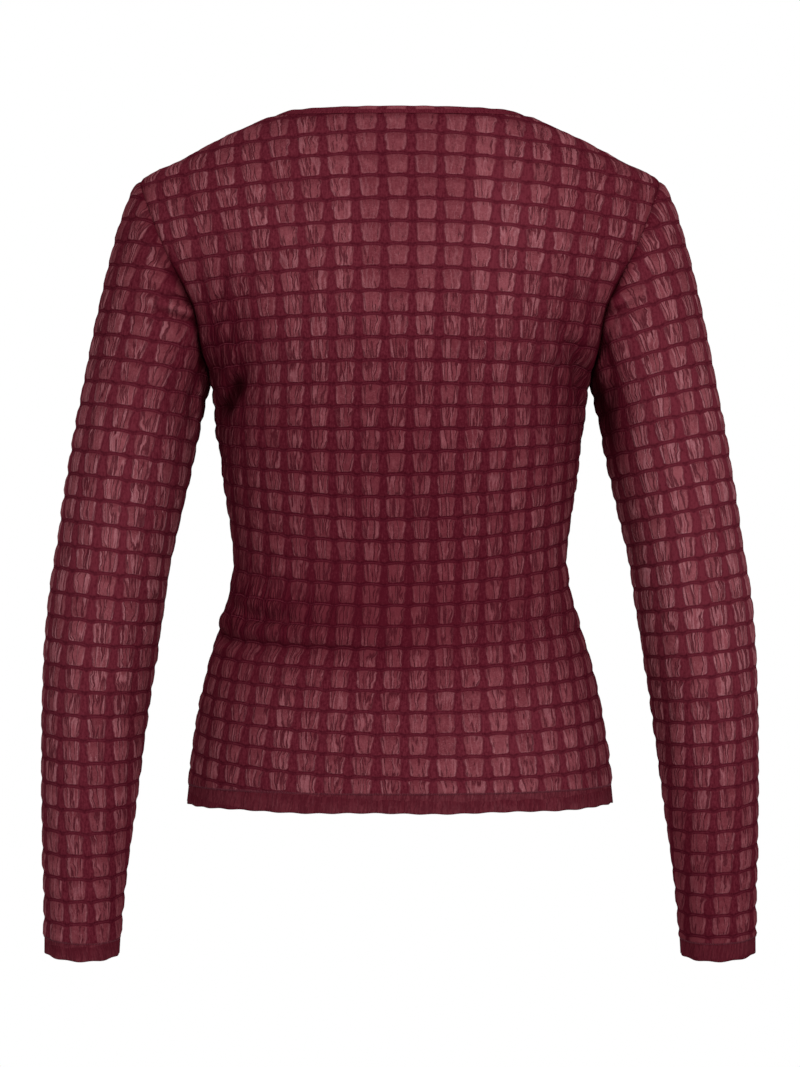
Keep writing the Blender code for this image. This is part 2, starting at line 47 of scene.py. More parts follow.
# Sizes of the cloth.
CLOTH = 0.0009  # thickness of the mesh
HEM_CLOTH = 0.0019  # two layers, at the turned hem and cuffs
PUFF = 0.0011  # height of a puffed square over the grid lines
RIB_ARCH = 0.075  # how far a rib bows up between two bands, as a share of the row
PATCH_LOW, PATCH_HIGH = 0.280, 0.378  # half width of a puff at its foot and head, as a share of the square
RIB_STRAY = 0.05  # how far a square stands to one side, as a share of its width
SEAM_GAP = -0.0003  # below 0: the edges overlap a little where they are sewn
SEAM_RISE = 0.0006  # how far the cloth stands out beside a seam
EDGE_WAVES = (0.0004, 0.0003)  # height of the larger and the smaller waves of a turned edge
HEM_Z = -0.5507
HEM_DEPTH = 0.0153
CUFF_DEPTH = 0.0145
TURN_STEP = 0.0008  # half the width of the step where a turned edge ends
NECK_ROUNDNESS = 1.5
# Height at the shoulder and the drop from there to the middle of the back and of the front.
NECK_EDGE = (0.0, 0.0, 0.0700)
NECK_SEAM = (-0.0032, 0.0037, 0.0752)
BINDING_CLOTH = 0.0024
BINDING_STAND, BINDING_ROLL = 0.0004, 0.0003  # how far it stands out at the panels, and more half way up
BINDING_CELLS = (0.00022, 0.00012)  # height of the larger and the smaller waves along it

# Spacing of the points of a panel.
EDGE_STEP = 0.0020  # along hems and seams
EDGE_MARGIN = 0.0011  # a grid point nearer than this to an edge is left out
ARMHOLE_STEPS = 100
NECK_STEPS = 110
SHOULDER_STEPS = 52
TURN_ROW, FOOT_ROW = 0.0007, 0.0016  # rows beside the seam of a turned edge, and over its foot
SHIFT_ROUNDS = 30  # to find the line that a bowed place belongs to
COLUMN_PARTS = (0.0, 0.09, 0.17, 0.25, 0.34, 0.44, 0.54, 0.64, 0.74, 0.83, 0.91)
ROW_PARTS = (0.0, 0.06, 0.15, 0.28, 0.42, 0.56, 0.70, 0.83, 0.94)
LINING_COLUMN_PARTS = (0.0, 0.22, 0.40, 0.60, 0.78)
LINING_ROW_PARTS = (0.0, 0.25, 0.50, 0.75)
COLUMNS_APART = 40  # from one piece's squares to the next one's, so that no two pieces look alike
CREASES = 4  # upright creases in a puffed square
CREASE_SPACING, CREASE_WIDTH = 0.20, 0.055  # as shares of the square
CREASE_DEPTH = 0.22  # as a share of the puff
STITCH_PITCH, STITCH_HEIGHT, STITCH_WIDTH, STITCH_SLANT = 0.0013, 0.0026, 0.0006, 0.30
STITCH_END = 0.0006  # from the last stitch of a panel's hem to the side seam
HEM_STITCH_POINTS, CUFF_STITCH_POINTS = 160, 72  # along the hem of a panel and round a cuff

# How much painted light and shade the cloth carries, with its least and its most. Below 0 it turns into the
# painted shade of a deep hollow.
LIGHT_RANGE = (-0.9, 1.3)
TORSO_LEVEL, TORSO_CREASED_LEVEL = 0.55, 0.78  # light and creases away from any patch
SLEEVE_CREASED_LEVEL, CUFF_LESS_CREASED = 0.86, 0.30
INNER_ARM_SHADE, INNER_ARM_GATHERS = 0.25, 0.85
SEAM_SHADE, SEAM_SHADE_WIDTH = 0.40, 0.0045
VALLEY_SHADE, VALLEY_WIDTH = 1.25, 0.0034  # in the valley of the lower armhole

# Sections of the torso, from the hem up. Above the underarm a section carries on past the armhole's edge, as if
# the panel went on round the arm, and above -0.056 its ends are the shoulder line.
TORSO = (
    # height, half width, back depth, front depth, roundness
    (-0.5507, 0.1696, 0.1150, 0.1090, 2.20),
    (-0.5104, 0.1652, 0.1125, 0.1085, 2.20),
    (-0.4704, 0.1588, 0.1040, 0.1070, 2.20),
    (-0.4304, 0.1492, 0.0910, 0.1035, 2.20),
    (-0.3904, 0.1370, 0.0795, 0.0985, 2.20),
    (-0.3624, 0.1322, 0.0770, 0.0980, 2.20),
    (-0.3344, 0.1344, 0.0800, 0.1020, 2.20),
    (-0.2944, 0.1404, 0.0885, 0.1150, 2.15),
    (-0.2544, 0.1452, 0.0970, 0.1280, 2.10),
    (-0.2304, 0.1475, 0.1005, 0.1300, 2.05),
    (-0.2130, 0.1520, 0.1025, 0.1290, 2.00),
    (-0.1910, 0.1700, 0.1035, 0.1240, 2.00),
    (-0.1624, 0.1890, 0.1025, 0.1130, 2.00),
    (-0.1390, 0.2090, 0.1000, 0.1020, 2.00),
    (-0.1200, 0.2220, 0.0975, 0.0925, 2.00),
    (-0.0960, 0.2290, 0.0915, 0.0815, 2.00),
    (-0.0736, 0.2220, 0.0845, 0.0730, 2.00),
    (-0.0544, 0.2045, 0.0770, 0.0665, 2.00),
    (-0.0384, 0.1725, 0.0690, 0.0600, 2.00),
    (-0.0224, 0.1425, 0.0595, 0.0530, 2.00),
    (-0.0100, 0.1160, 0.0495, 0.0465, 2.00),
    (0.0000, 0.0900, 0.0410, 0.0400, 2.00),
)
HEIGHT, HALF_WIDTH, BACK_DEPTH, FRONT_DEPTH, ROUNDNESS = np.array(TORSO).T

# The armhole is an ellipse seen from the side.
SHOULDER_Z = -0.0560
UNDERARM_Z = -0.2130
ARMHOLE_REACH = 0.0570  # to the back and to the front

# Sections of the sleeve's tube, from the cuff up to the level of the underarm, for the wearer's left arm.
SLEEVE = (
    # across, back, height, half width, half depth
    (0.2568, -0.0218, -0.6748, 0.0296, 0.0318),
    (0.2548, -0.0180, -0.6330, 0.0309, 0.0338),
    (0.2524, -0.0135, -0.5915, 0.0340, 0.0366),
    (0.2496, -0.0090, -0.5510, 0.0370, 0.0396),
    (0.2466, -0.0050, -0.5105, 0.0396, 0.0420),
    (0.2434, -0.0015, -0.4704, 0.0418, 0.0440),
    (0.2392, 0.0010, -0.4304, 0.0441, 0.0463),
    (0.2342, 0.0025, -0.3904, 0.0453, 0.0482),
    (0.2280, 0.0030, -0.3504, 0.0450, 0.0497),
    (0.2206, 0.0025, -0.3104, 0.0466, 0.0512),
    (0.2130, 0.0015, -0.2704, 0.0477, 0.0525),
    (0.2060, 0.0000, -0.2330, 0.0480, 0.0540),
)
ARM_X, ARM_Y, ARM_Z, ARM_HALF_WIDTH, ARM_HALF_DEPTH = np.array(SLEEVE).T
ARM_AXIS = np.stack([ARM_X, ARM_Y, ARM_Z], axis=1)
ARM_ALONG = np.concatenate([[0.0], np.cumsum(np.linalg.norm(np.diff(ARM_AXIS, axis=0), axis=1))])

# The sleeve head leaves the shoulder along this slope and turns down the arm.
SHOULDER_SLOPE = (0.90, 0.0, -0.44)
UNDERARM_SLOPE = (0.24, 0.0, -0.97)
HEAD_FULLNESS = 0.28
ARM_FULLNESS = 1.10

# The puffed grid of the front and back. Heights of its lines at the centre, by the line's number.
TORSO_LINES = (
    # line, height
    (0, -0.5248),
    (5, -0.4425),
    (10, -0.3609),
    (15, -0.2750),
    (20, -0.1875),
    (25, -0.0974),
    (30, -0.0063),
)
# Width of its squares and how far it stands off the centre, in squares, by height.
TORSO_COLUMNS = (
    # height, width, offset
    (-0.5507, 0.0220, 0.33),
    (-0.5050, 0.0213, 0.34),
    (-0.4730, 0.0206, 0.33),
    (-0.4090, 0.0193, 0.21),
    (-0.3750, 0.0191, 0.14),
    (-0.3130, 0.0195, 0.17),
    (-0.2450, 0.0201, 0.12),
    (-0.2170, 0.0201, 0.08),
    (-0.1530, 0.0206, 0.05),
    (-0.0890, 0.0217, 0.06),
    (-0.0250, 0.0233, 0.12),
    (0.0000, 0.0240, 0.13),
)
# Its lines fall towards the shoulders, rise over the hips and tilt a little.
TORSO_BOW = (
    # height, fall at 0.2 m from the centre, tilt
    (-0.5507, -0.0085, 0.034),
    (-0.4950, -0.0105, 0.016),
    (-0.4500, -0.0120, -0.003),
    (-0.3950, -0.0180, -0.010),
    (-0.3600, -0.0260, -0.010),
    (-0.3300, -0.0254, -0.008),
    (-0.3000, -0.0185, -0.008),
    (-0.2700, -0.0110, -0.005),
    (-0.2400, -0.0034, 0.000),
    (-0.2000, 0.0045, 0.003),
    (-0.1700, 0.0090, 0.002),
    (-0.1000, 0.0152, 0.001),
    (0.0000, 0.0205, 0.005),
)

# The grid of each sleeve, by the distance from the cuff.
LEFT_LINES = (
    # line, distance
    (0, 0.0270),
    (9, 0.1957),
    (14, 0.2877),
    (18, 0.3605),
    (22, 0.4345),
    (30, 0.5849),
)
LEFT_COLUMNS = (
    # distance, width, offset, fall of the lines at the back of the arm
    (0.020, 0.0203, -0.56, -0.0020),
    (0.100, 0.0205, -0.55, -0.0020),
    (0.200, 0.0205, -0.47, -0.0020),
    (0.280, 0.0209, -0.33, -0.0020),
    (0.320, 0.0209, -0.41, -0.0022),
    (0.360, 0.0210, -0.56, -0.0026),
    (0.400, 0.0215, -0.71, -0.0026),
    (0.435, 0.0223, -0.82, -0.0024),
    (0.480, 0.0228, -0.90, -0.0015),
    (0.530, 0.0228, -1.02, -0.0005),
    (0.600, 0.0228, -1.10, 0.0000),
)
RIGHT_LINES = (
    # line, distance
    (0, 0.0362),
    (3, 0.0882),
    (6, 0.1406),
    (9, 0.1937),
    (12, 0.2464),
    (15, 0.3012),
    (18, 0.3563),
    (22, 0.4309),
    (26, 0.5065),
    (30, 0.5832),
)
RIGHT_COLUMNS = (
    # distance, width, offset, fall of the lines at the back of the arm
    (0.020, 0.0204, -0.56, 0.0000),
    (0.100, 0.0207, -0.54, 0.0000),
    (0.200, 0.0205, -0.39, 0.0000),
    (0.250, 0.0206, -0.23, 0.0000),
    (0.300, 0.0206, -0.18, 0.0000),
    (0.360, 0.0209, -0.22, 0.0003),
    (0.400, 0.0216, -0.23, 0.0009),
    (0.435, 0.0221, -0.25, 0.0020),
    (0.470, 0.0217, -0.22, 0.0045),
    (0.550, 0.0208, -0.20, 0.0085),
    (0.600, 0.0208, -0.18, 0.0090),
)

# Folds, as soft troughs (depth above 0) or ridges, each with a lower swell beside it. Places are on the flat
# pattern: the distance round from the centre back, centre front or outside of the arm, and the height or the
# distance from the cuff. The slope is in degrees, the bend in metres of sideways shift at the ends.
BACK_FOLDS = (
    # round, along, half length, half width, depth, slope, bend
    (0.0900, -0.4262, 0.095, 0.0060, 0.0048, 4, 0.004),
    (0.1080, -0.4020, 0.060, 0.0045, 0.0022, 9, 0.003),
    (0.1350, -0.4080, 0.045, 0.0060, 0.0026, -16, -0.004),
    (-0.1250, -0.4060, 0.045, 0.0070, 0.0022, 19, 0.005),
    (-0.0500, -0.4040, 0.030, 0.0055, 0.0013, -4, 0.002),
    (0.1460, -0.2280, 0.024, 0.0070, 0.0064, -42, 0.003),
    (0.1330, -0.1700, 0.035, 0.0045, 0.0018, -62, 0.003),
    (0.1440, -0.1560, 0.030, 0.0035, 0.0016, -72, 0.002),
    (0.1800, -0.2700, 0.045, 0.0060, 0.0024, -75, 0.004),
    (-0.1500, -0.2020, 0.042, 0.0070, 0.0036, 50, -0.005),
    (-0.1380, -0.1600, 0.030, 0.0040, 0.0016, 66, -0.002),
    (-0.1760, -0.2450, 0.040, 0.0055, 0.0024, 62, -0.003),
)
FRONT_FOLDS = (
    (0.1200, -0.3920, 0.050, 0.0065, 0.0028, -20, 0.004),
    (-0.1100, -0.4000, 0.055, 0.0070, 0.0028, 17, -0.005),
    (0.0200, -0.4250, 0.050, 0.0080, 0.0014, -3, 0.003),
    (0.1500, -0.2150, 0.045, 0.0065, 0.0034, -55, 0.004),
    (0.1350, -0.1750, 0.032, 0.0045, 0.0018, -64, 0.003),
    (-0.1520, -0.2180, 0.050, 0.0065, 0.0034, 54, -0.004),
    (-0.1360, -0.1680, 0.030, 0.0040, 0.0018, 66, -0.003),
)
LEFT_FOLDS = (
    (0.0900, 0.5360, 0.034, 0.0036, 0.0038, -36, 0.002),
    (0.0960, 0.5150, 0.026, 0.0030, 0.0030, -3, 0.001),
    (0.0950, 0.5215, 0.024, 0.0030, -0.0026, -3, 0.001),
    (0.1000, 0.5285, 0.020, 0.0026, 0.0024, -6, 0.001),
    (0.1260, 0.4900, 0.034, 0.0045, 0.0030, -58, 0.002),
    (0.1330, 0.4500, 0.034, 0.0050, 0.0022, -74, 0.003),
    (-0.0880, 0.5320, 0.034, 0.0040, 0.0026, 38, -0.002),
    (-0.1060, 0.5120, 0.022, 0.0035, 0.0020, 24, -0.001),
)
RIGHT_FOLDS = (
    (0.0980, 0.5150, 0.032, 0.0040, 0.0036, -46, 0.002),
    (0.0910, 0.5260, 0.020, 0.0030, -0.0024, -16, 0.001),
    (0.0935, 0.5195, 0.022, 0.0028, 0.0028, -16, 0.001),
    (0.1180, 0.4800, 0.040, 0.0050, 0.0024, -76, 0.003),
    (-0.0900, 0.5300, 0.032, 0.0040, 0.0026, 37, -0.002),
    (-0.1100, 0.5050, 0.024, 0.0035, 0.0020, 26, -0.001),
)

# Painted light and shade, as soft patches in the place of the worn garment: above 0 the cloth is painted
# lighter, where it lies sheer and lit, and below 0 darker, where it lies in shade.
TORSO_LIGHT = (
    # across, height, reach across, reach up, amount
    (0.060, -0.110, 0.055, 0.085, 0.15),
    (-0.080, -0.100, 0.045, 0.080, 0.40),
    (-0.010, -0.075, 0.060, 0.040, -0.05),
    (0.165, -0.110, 0.050, 0.050, 0.22),
    (0.000, -0.300, 0.120, 0.100, -0.26),
    (0.010, -0.400, 0.130, 0.045, -0.34),
    (-0.090, -0.505, 0.060, 0.055, 0.24),
    (0.070, -0.495, 0.060, 0.045, 0.02),
    (0.150, -0.330, 0.040, 0.230, -0.30),
    (0.140, -0.200, 0.025, 0.060, -0.40),
    (-0.140, -0.215, 0.030, 0.060, -0.40),
    (-0.150, -0.340, 0.028, 0.180, -0.22),
    (0.100, -0.402, 0.075, 0.030, -0.25),
)
# Painted shade in the deep hollow below the left armhole, on the back alone.
BACK_HOLLOW_SHADE = (
    (0.135, -0.236, 0.0060, 0.0100, -0.90),
    (0.126, -0.222, 0.0065, 0.0110, -1.00),
)
# The light down each sleeve, and its patches, on the flat pattern.
LEFT_LIGHT = (
    # distance from the cuff, light
    (0.00, 0.56),
    (0.10, 0.62),
    (0.20, 0.74),
    (0.33, 0.86),
    (0.42, 0.80),
    (0.50, 0.58),
    (0.60, 0.48),
)
RIGHT_LIGHT = (
    # distance from the cuff, light
    (0.00, 0.36),
    (0.08, 0.42),
    (0.16, 0.64),
    (0.28, 0.98),
    (0.42, 0.96),
    (0.50, 0.76),
    (0.60, 0.64),
)
# Painted shade on the sleeves near the armholes, and above 0 painted highlight on the ridges of their folds.
LEFT_SHADES = (
    # round, distance from the cuff, reach round, reach along, amount
    (0.0950, 0.5215, 0.0220, 0.0024, 0.50),
    (0.0980, 0.5155, 0.0240, 0.0022, -0.60),
    (0.1020, 0.5285, 0.0180, 0.0020, -0.50),
    (0.1300, 0.4880, 0.0080, 0.0140, -0.50),
)
RIGHT_SHADES = (
    (0.0990, 0.5230, 0.0140, 0.0030, -0.50),
    (0.0930, 0.5300, 0.0120, 0.0026, 0.35),
    (0.1160, 0.4960, 0.0100, 0.0100, -0.45),
    (0.1370, 0.4480, 0.0200, 0.0500, -1.30),
)
# Where it is drawn into fine upright gathers.
TORSO_GATHERS = (
    # across, height, reach across, reach up, amount
    (0.125, -0.395, 0.050, 0.034, 0.95),
    (0.060, -0.400, 0.040, 0.020, 0.45),
    (0.145, -0.280, 0.028, 0.090, 0.65),
    (-0.100, -0.405, 0.060, 0.030, 0.30),
    (0.140, -0.205, 0.030, 0.060, 1.00),
    (-0.140, -0.215, 0.030, 0.060, 0.85),
    (0.190, -0.460, 0.034, 0.080, 0.50),
    (-0.190, -0.460, 0.030, 0.080, 0.35),
)
# Where the squares are creased less than elsewhere.
TORSO_CREASED = (
    # across, height, reach across, reach up, amount
    (-0.010, -0.050, 0.075, 0.075, -0.60),
    (-0.020, -0.130, 0.050, 0.050, -0.30),
    (-0.060, -0.500, 0.080, 0.050, -0.35),
)


def along(knots, values, at):
    """The smooth curve through the values at the knots."""
    knots, values, at = (np.asarray(a, float) for a in (knots, values, at))
    slopes = np.gradient(values, knots)
    i = np.clip(np.searchsorted(knots, at) - 1, 0, len(knots) - 2)
    step = knots[i + 1] - knots[i]
    t = np.clip((at - knots[i]) / step, 0.0, 1.0)
    before = (1 + 2 * t) * (1 - t) ** 2 * values[i] + t * (1 - t) ** 2 * step * slopes[i]
    after = t * t * (3 - 2 * t) * values[i + 1] - t * t * (1 - t) * step * slopes[i + 1]
    return before + after


def unit(vectors):
    return vectors / np.linalg.norm(vectors, axis=-1, keepdims=True)


def smooth(low, high, value):
    """0 below low, 1 above high, and a soft step between."""
    t = np.clip((value - low) / (high - low), 0.0, 1.0)
    return t * t * (3 - 2 * t)


def in_parts(work, *arrays, size=9000):
    """Works on long arrays a stretch at a time, to spare memory."""
    count = len(arrays[0])
    parts = [work(*(a[i : i + size] for a in arrays)) for i in range(0, count, size)]
    return np.concatenate(parts)


def look_up(key, keys, values):
    """Reads each row of values where its row of rising keys reaches the key."""
    i = np.clip((keys < key[:, None]).sum(axis=1) - 1, 0, keys.shape[1] - 2)
    n = np.arange(len(key))
    share = np.clip((key - keys[n, i]) / (keys[n, i + 1] - keys[n, i]), 0.0, 1.0)
    share = share.reshape(-1, *[1] * (values.ndim - 2))
    return values[n, i] + share * (values[n, i + 1] - values[n, i])


# The torso: a stack of rounded sections, x across and y towards the back.


def depth(z, facing):
    """How far a section reaches to the back (facing 1) or to the front (facing -1)."""
    return along(HEIGHT, BACK_DEPTH if facing > 0 else FRONT_DEPTH, z)


def torso_at(across, z, facing):
    """The point of the torso at this distance across, on its back or front."""
    reach, n = along(HEIGHT, HALF_WIDTH, z), along(HEIGHT, ROUNDNESS, z)
    share = np.clip(np.abs(across) / reach, 0.0, 1.0)
    y = facing * depth(z, facing) * (1 - share**n) ** (1 / n)
    return np.stack([np.sign(across) * share * reach, y, z + 0 * across], axis=-1)


def torso_normal(point, facing):
    """The way out of the cloth. On the side seams and the shoulder line it has no y, whichever panel asks."""
    x, y, z = point[..., 0], point[..., 1], point[..., 2]
    n = along(HEIGHT, ROUNDNESS, z)
    step = 0.0005
    reach, far = along(HEIGHT, HALF_WIDTH, z), depth(z, facing)
    widening = (along(HEIGHT, HALF_WIDTH, z + step) - along(HEIGHT, HALF_WIDTH, z - step)) / (2 * step)
    deepening = (depth(z + step, facing) - depth(z - step, facing)) / (2 * step)
    u, v = np.abs(x) / reach, np.abs(y) / far
    out_x = np.sign(x) * u ** (n - 1) / reach
    out_y = facing * v ** (n - 1) / far
    out_z = -(u**n) * widening / reach - v**n * deepening / far
    return unit(np.stack([out_x, out_y, out_z], axis=-1))


def section_arcs(z, facing, steps=96):
    """For each height, (distance round the section from its middle, distance across), out to the side."""
    angle = np.linspace(0.0, math.pi / 2, steps)
    n = along(HEIGHT, ROUNDNESS, z)[:, None]
    x = along(HEIGHT, HALF_WIDTH, z)[:, None] * np.sin(angle) ** (2 / n)
    y = depth(z, facing)[:, None] * np.cos(angle) ** (2 / n)
    run = np.cumsum(np.hypot(np.diff(x), np.diff(y)), axis=1)
    return np.concatenate([np.zeros((len(z), 1)), run], axis=1), x


def half_round(z, facing):
    """The distance round one section, from its middle to its side."""
    return section_arcs(np.array([z]), facing)[0][0, -1]


def across_to_round(across, z, facing):
    """Distance round the section for a distance across."""
    arc, x = section_arcs(z, facing)
    return np.copysign(look_up(np.abs(across), x, arc), across)


def round_to_across(distance, z, facing):
    arc, x = section_arcs(z, facing)
    return np.copysign(look_up(np.abs(distance), arc, x), distance)


def armhole(angle):
    """The seam between panel and sleeve on the wearer's left.

    The angle is 0 at the shoulder, pi at the underarm, and above 0 at the back.
    """
    z = (SHOULDER_Z + UNDERARM_Z) / 2 + (SHOULDER_Z - UNDERARM_Z) / 2 * np.cos(angle)
    y = ARMHOLE_REACH * np.sin(angle)
    far = np.where(np.sin(angle) >= 0, depth(z, 1), depth(z, -1))
    n = along(HEIGHT, ROUNDNESS, z)
    x = along(HEIGHT, HALF_WIDTH, z) * (1 - np.abs(y / far) ** n) ** (1 / n)
    return np.stack([x, y, z], axis=-1)


def neck_line(line, angle, facing):
    """A line round the neck: angle 0 on the wearer's left shoulder, pi on the right one."""
    height, back_drop, front_drop = line
    drop = back_drop * np.sin(angle) if facing > 0 else front_drop * np.sin(angle) ** NECK_ROUNDNESS
    across = along(HEIGHT, HALF_WIDTH, height) * np.cos(angle)
    return torso_at(across, height - drop, facing)


# The sleeve: a tube that bends with the arm, and a head that reaches the armhole.


def sleeve_ring(angle, distance):
    """The tube's points at a distance from the cuff: angle 0 outside, pi under the arm, back above 0."""
    step = 0.002
    before, centre, after = (
        np.stack([along(ARM_ALONG, c, distance + d) for c in ARM_AXIS.T], axis=-1) for d in (-step, 0.0, step)
    )
    way = unit(after - before)
    out = unit(np.array([1.0, 0.0, 0.0]) - way[..., :1] * way)
    wide = along(ARM_ALONG, ARM_HALF_WIDTH, distance) * np.cos(angle)
    deep = along(ARM_ALONG, ARM_HALF_DEPTH, distance) * np.sin(angle)
    return centre + out * wide[..., None] + np.cross(way, out) * deep[..., None]


def sleeve_head(angle, t):
    """The head's surface, from the tube's top ring (t = 0) to the armhole's seam (t = 1)."""
    share = ((1 - np.cos(angle)) / 2)[..., None]
    slope = unit((1 - share) * np.array(SHOULDER_SLOPE) + share * np.array(UNDERARM_SLOPE))
    gap = unit((1 - share) * np.array(SHOULDER_SLOPE) + share * np.array([1.0, 0.0, 0.0]))
    seam = armhole(angle) + SEAM_GAP * gap
    ring = sleeve_ring(angle, np.full_like(angle, ARM_ALONG[-1]))
    below = sleeve_ring(angle, np.full_like(angle, ARM_ALONG[-1] - 0.004))
    chord = np.linalg.norm(seam - ring, axis=-1, keepdims=True)
    t = t[..., None]
    head = (1 + 2 * t) * (1 - t) ** 2 * ring + t * (1 - t) ** 2 * ARM_FULLNESS * chord * unit(ring - below)
    return head + t * t * (3 - 2 * t) * seam + t * t * (1 - t) * HEAD_FULLNESS * chord * slope


def head_lengths(angle, steps=40):
    """(curves up the head, distance along them)."""
    t = np.linspace(0.0, 1.0, steps + 1)
    curve = sleeve_head(angle[:, None] + 0 * t, t + 0 * angle[:, None])
    run = np.linalg.norm(np.diff(curve, axis=1), axis=-1)
    return curve, np.concatenate([np.zeros((len(angle), 1)), np.cumsum(run, axis=1)], axis=1)


def sleeve_at(angle, distance):
    """Points of the sleeve; the distance is from the cuff, along the arm and then up the head."""
    top = ARM_ALONG[-1]
    points = sleeve_ring(angle, np.minimum(distance, top))
    on_head = distance > top
    if on_head.any():
        curve, far = head_lengths(angle[on_head])
        points[on_head] = look_up(distance[on_head] - top, far, curve)
    return points


def sleeve_normal(angle, distance):
    turn, step = 0.02, 0.0008
    round_it = sleeve_at(angle + turn, distance) - sleeve_at(angle - turn, distance)
    up_it = sleeve_at(angle, distance + step) - sleeve_at(angle, distance - step)
    return unit(np.cross(round_it, up_it))


def girth(distance):
    """Half the distance round the tube."""
    wide = along(ARM_ALONG, ARM_HALF_WIDTH, distance)
    deep = along(ARM_ALONG, ARM_HALF_DEPTH, distance)
    return math.pi * np.sqrt((wide**2 + deep**2) / 2)


ARM_GIRTH = float(girth(ARM_ALONG[-1]))


# The grid of squares. A square's number counts from its left and lower lines, so whole numbers are lines.


def numbered_lines(table):
    """A long table of (line number, place), carried on evenly past both ends."""
    lines, places = np.array(table, float).T
    numbers = np.arange(lines[0] - 4, lines[-1] + 5.01, 0.1)
    first = (places[1] - places[0]) / (lines[1] - lines[0])
    last = (places[-1] - places[-2]) / (lines[-1] - lines[-2])
    place = along(lines, places, numbers)
    place = place + first * np.minimum(numbers - lines[0], 0) + last * np.maximum(numbers - lines[-1], 0)
    return numbers, place


def even_steps(half):
    """Evenly spaced places along an edge, from one end to the other."""
    return np.linspace(-half, half, 2 * int(half / EDGE_STEP) + 1)


class Grid:
    """Squares on a flat pattern (distance round from its middle, height or distance from the cuff)."""

    rows = (-3, 34)

    def __init__(self, lines, columns):
        self.numbers, self.places = numbered_lines(lines)
        self.at, self.widths, self.offsets, *self.falls = np.array(columns).T

    def flat(self, column, row):
        v = np.interp(row, self.numbers, self.places)
        distance = (column - 0.5 + along(self.at, self.offsets, v)) * self.width(v)
        return np.stack([distance, v + self.shift(distance, v)], axis=-1)

    def squares(self, flat):
        distance, height = flat.T
        v = height
        for _ in range(SHIFT_ROUNDS):
            v = height - self.shift(distance, v)
        column = distance / self.width(v) - along(self.at, self.offsets, v) + 0.5
        return np.stack([column, np.interp(v, self.places, self.numbers)], axis=-1)


class TorsoGrid(Grid):
    """The squares of the front and back."""

    columns = (-13, 14)
    bow_at, falls_at, tilts = np.array(TORSO_BOW).T

    def width(self, z):
        return along(self.at, self.widths, z)

    def shift(self, distance, z):
        fall = along(self.bow_at, self.falls_at, z) * (distance / 0.2) ** 2
        return along(self.bow_at, self.tilts, z) * distance - fall


class SleeveGrid(Grid):
    """The squares of a sleeve, which start from the outside of the arm."""

    columns = (-9, 10)

    def width(self, v):
        return along(self.at, self.widths, v) * ARM_GIRTH / girth(v)

    def shift(self, distance, v):
        return -along(self.at, self.falls[0], v) * (1 - np.cos(math.pi * distance / ARM_GIRTH))


# Relief of the cloth.


def rib_bow(part):
    """How far a rib bows up, at a share of the way from one band to the next."""
    return RIB_ARCH * 4 * part * (1 - part)


def seed(column, row):
    """A number from 0 to 1 that belongs to a square, for the mesh and for the material alike."""
    return (column * 0.7549 + row * 0.5698) % 1.0


def chance(of_square, turn):
    """Another number from 0 to 1 for each turn."""
    return (of_square * (37.7 + 11.3 * turn) + 0.371 * turn) % 1.0


def creases(of_square, side, up):
    """How deep each point lies in the few upright creases of its square, from 0 to 1."""
    deep = np.zeros_like(side)
    for k in range(CREASES):
        start = (k - (CREASES - 1) / 2) * CREASE_SPACING + (chance(of_square, 1 + k) - 0.5) * 0.18
        lean = (chance(of_square, 5 + k) - 0.5) * 0.24
        path = start * (0.74 + 0.26 * up) + (up - 0.5) * lean + up * (1 - up) * (lean - start * 0.3)
        foot, head = 0.42 * chance(of_square, 9 + k), 1.0 - 0.35 * chance(of_square, 21 + k)
        length = smooth(foot, foot + 0.16, up) * (1 - smooth(head - 0.16, head, up))
        strength = smooth(0.25, 0.85, chance(of_square, 13 + k))
        deep = np.maximum(deep, np.exp(-(((side - path) / CREASE_WIDTH) ** 2)) * length * strength)
    return deep


def puffs(squares):
    """Height of the cloth over its ribs, as a share of a puff."""
    u, v = squares.T
    part = u % 1.0
    arched = v - rib_bow(part)
    of_square, up = seed(np.floor(u), np.floor(arched)), arched % 1.0
    side = part - 0.5 - (chance(of_square, 0) - 0.5) * RIB_STRAY
    half = PATCH_LOW + (PATCH_HIGH - PATCH_LOW) * up
    crown = 1 - 0.50 * smooth(0.55, 1.25, np.abs(side) / half)
    rise = smooth(0.0, 0.30, up) * (1 - smooth(0.70, 1.0, up))
    full = (0.75 + 0.50 * chance(of_square, 17)) * (1.0 + 0.35 * (0.5 - up))
    lean = 1 + 0.7 * (chance(of_square, 18) - 0.5) * side / 0.4
    return rise * crown * full * lean - CREASE_DEPTH * creases(of_square, side, up) * rise


def folds(flat, table):
    """How far the folds press the cloth in."""
    total = np.zeros(len(flat))
    for round_it, along_it, half_length, half_width, deep, slope, bend in table:
        offset = flat - (round_it, along_it)
        turn = math.radians(slope)
        length = (offset @ (math.cos(turn), math.sin(turn))) / half_length
        side = (offset @ (-math.sin(turn), math.cos(turn)) - bend * length**2) / half_width
        trough = np.exp(-(side**2)) - 0.45 * np.exp(-(((side - 2.1) / 1.4) ** 2))
        total += deep * trough * np.exp(-(np.abs(length) ** 3))
    return total


def soft_patches(across, height, table):
    """The sum of soft round patches, each with its place, its reach both ways and its amount."""
    total = np.zeros(len(across))
    for x, z, wide, high, amount in table:
        total += amount * np.exp(-(((across - x) / wide) ** 2) - ((height - z) / high) ** 2)
    return total


def nearest(points, line):
    """Distance of each point to the nearest point of a line."""
    tree = kdtree.KDTree(len(line))
    for i, p in enumerate(line):
        tree.insert((p[0], p[1], 0.0), i)
    tree.balance()
    return np.array([tree.find((p[0], p[1], 0.0))[2] for p in points])


# Panels.


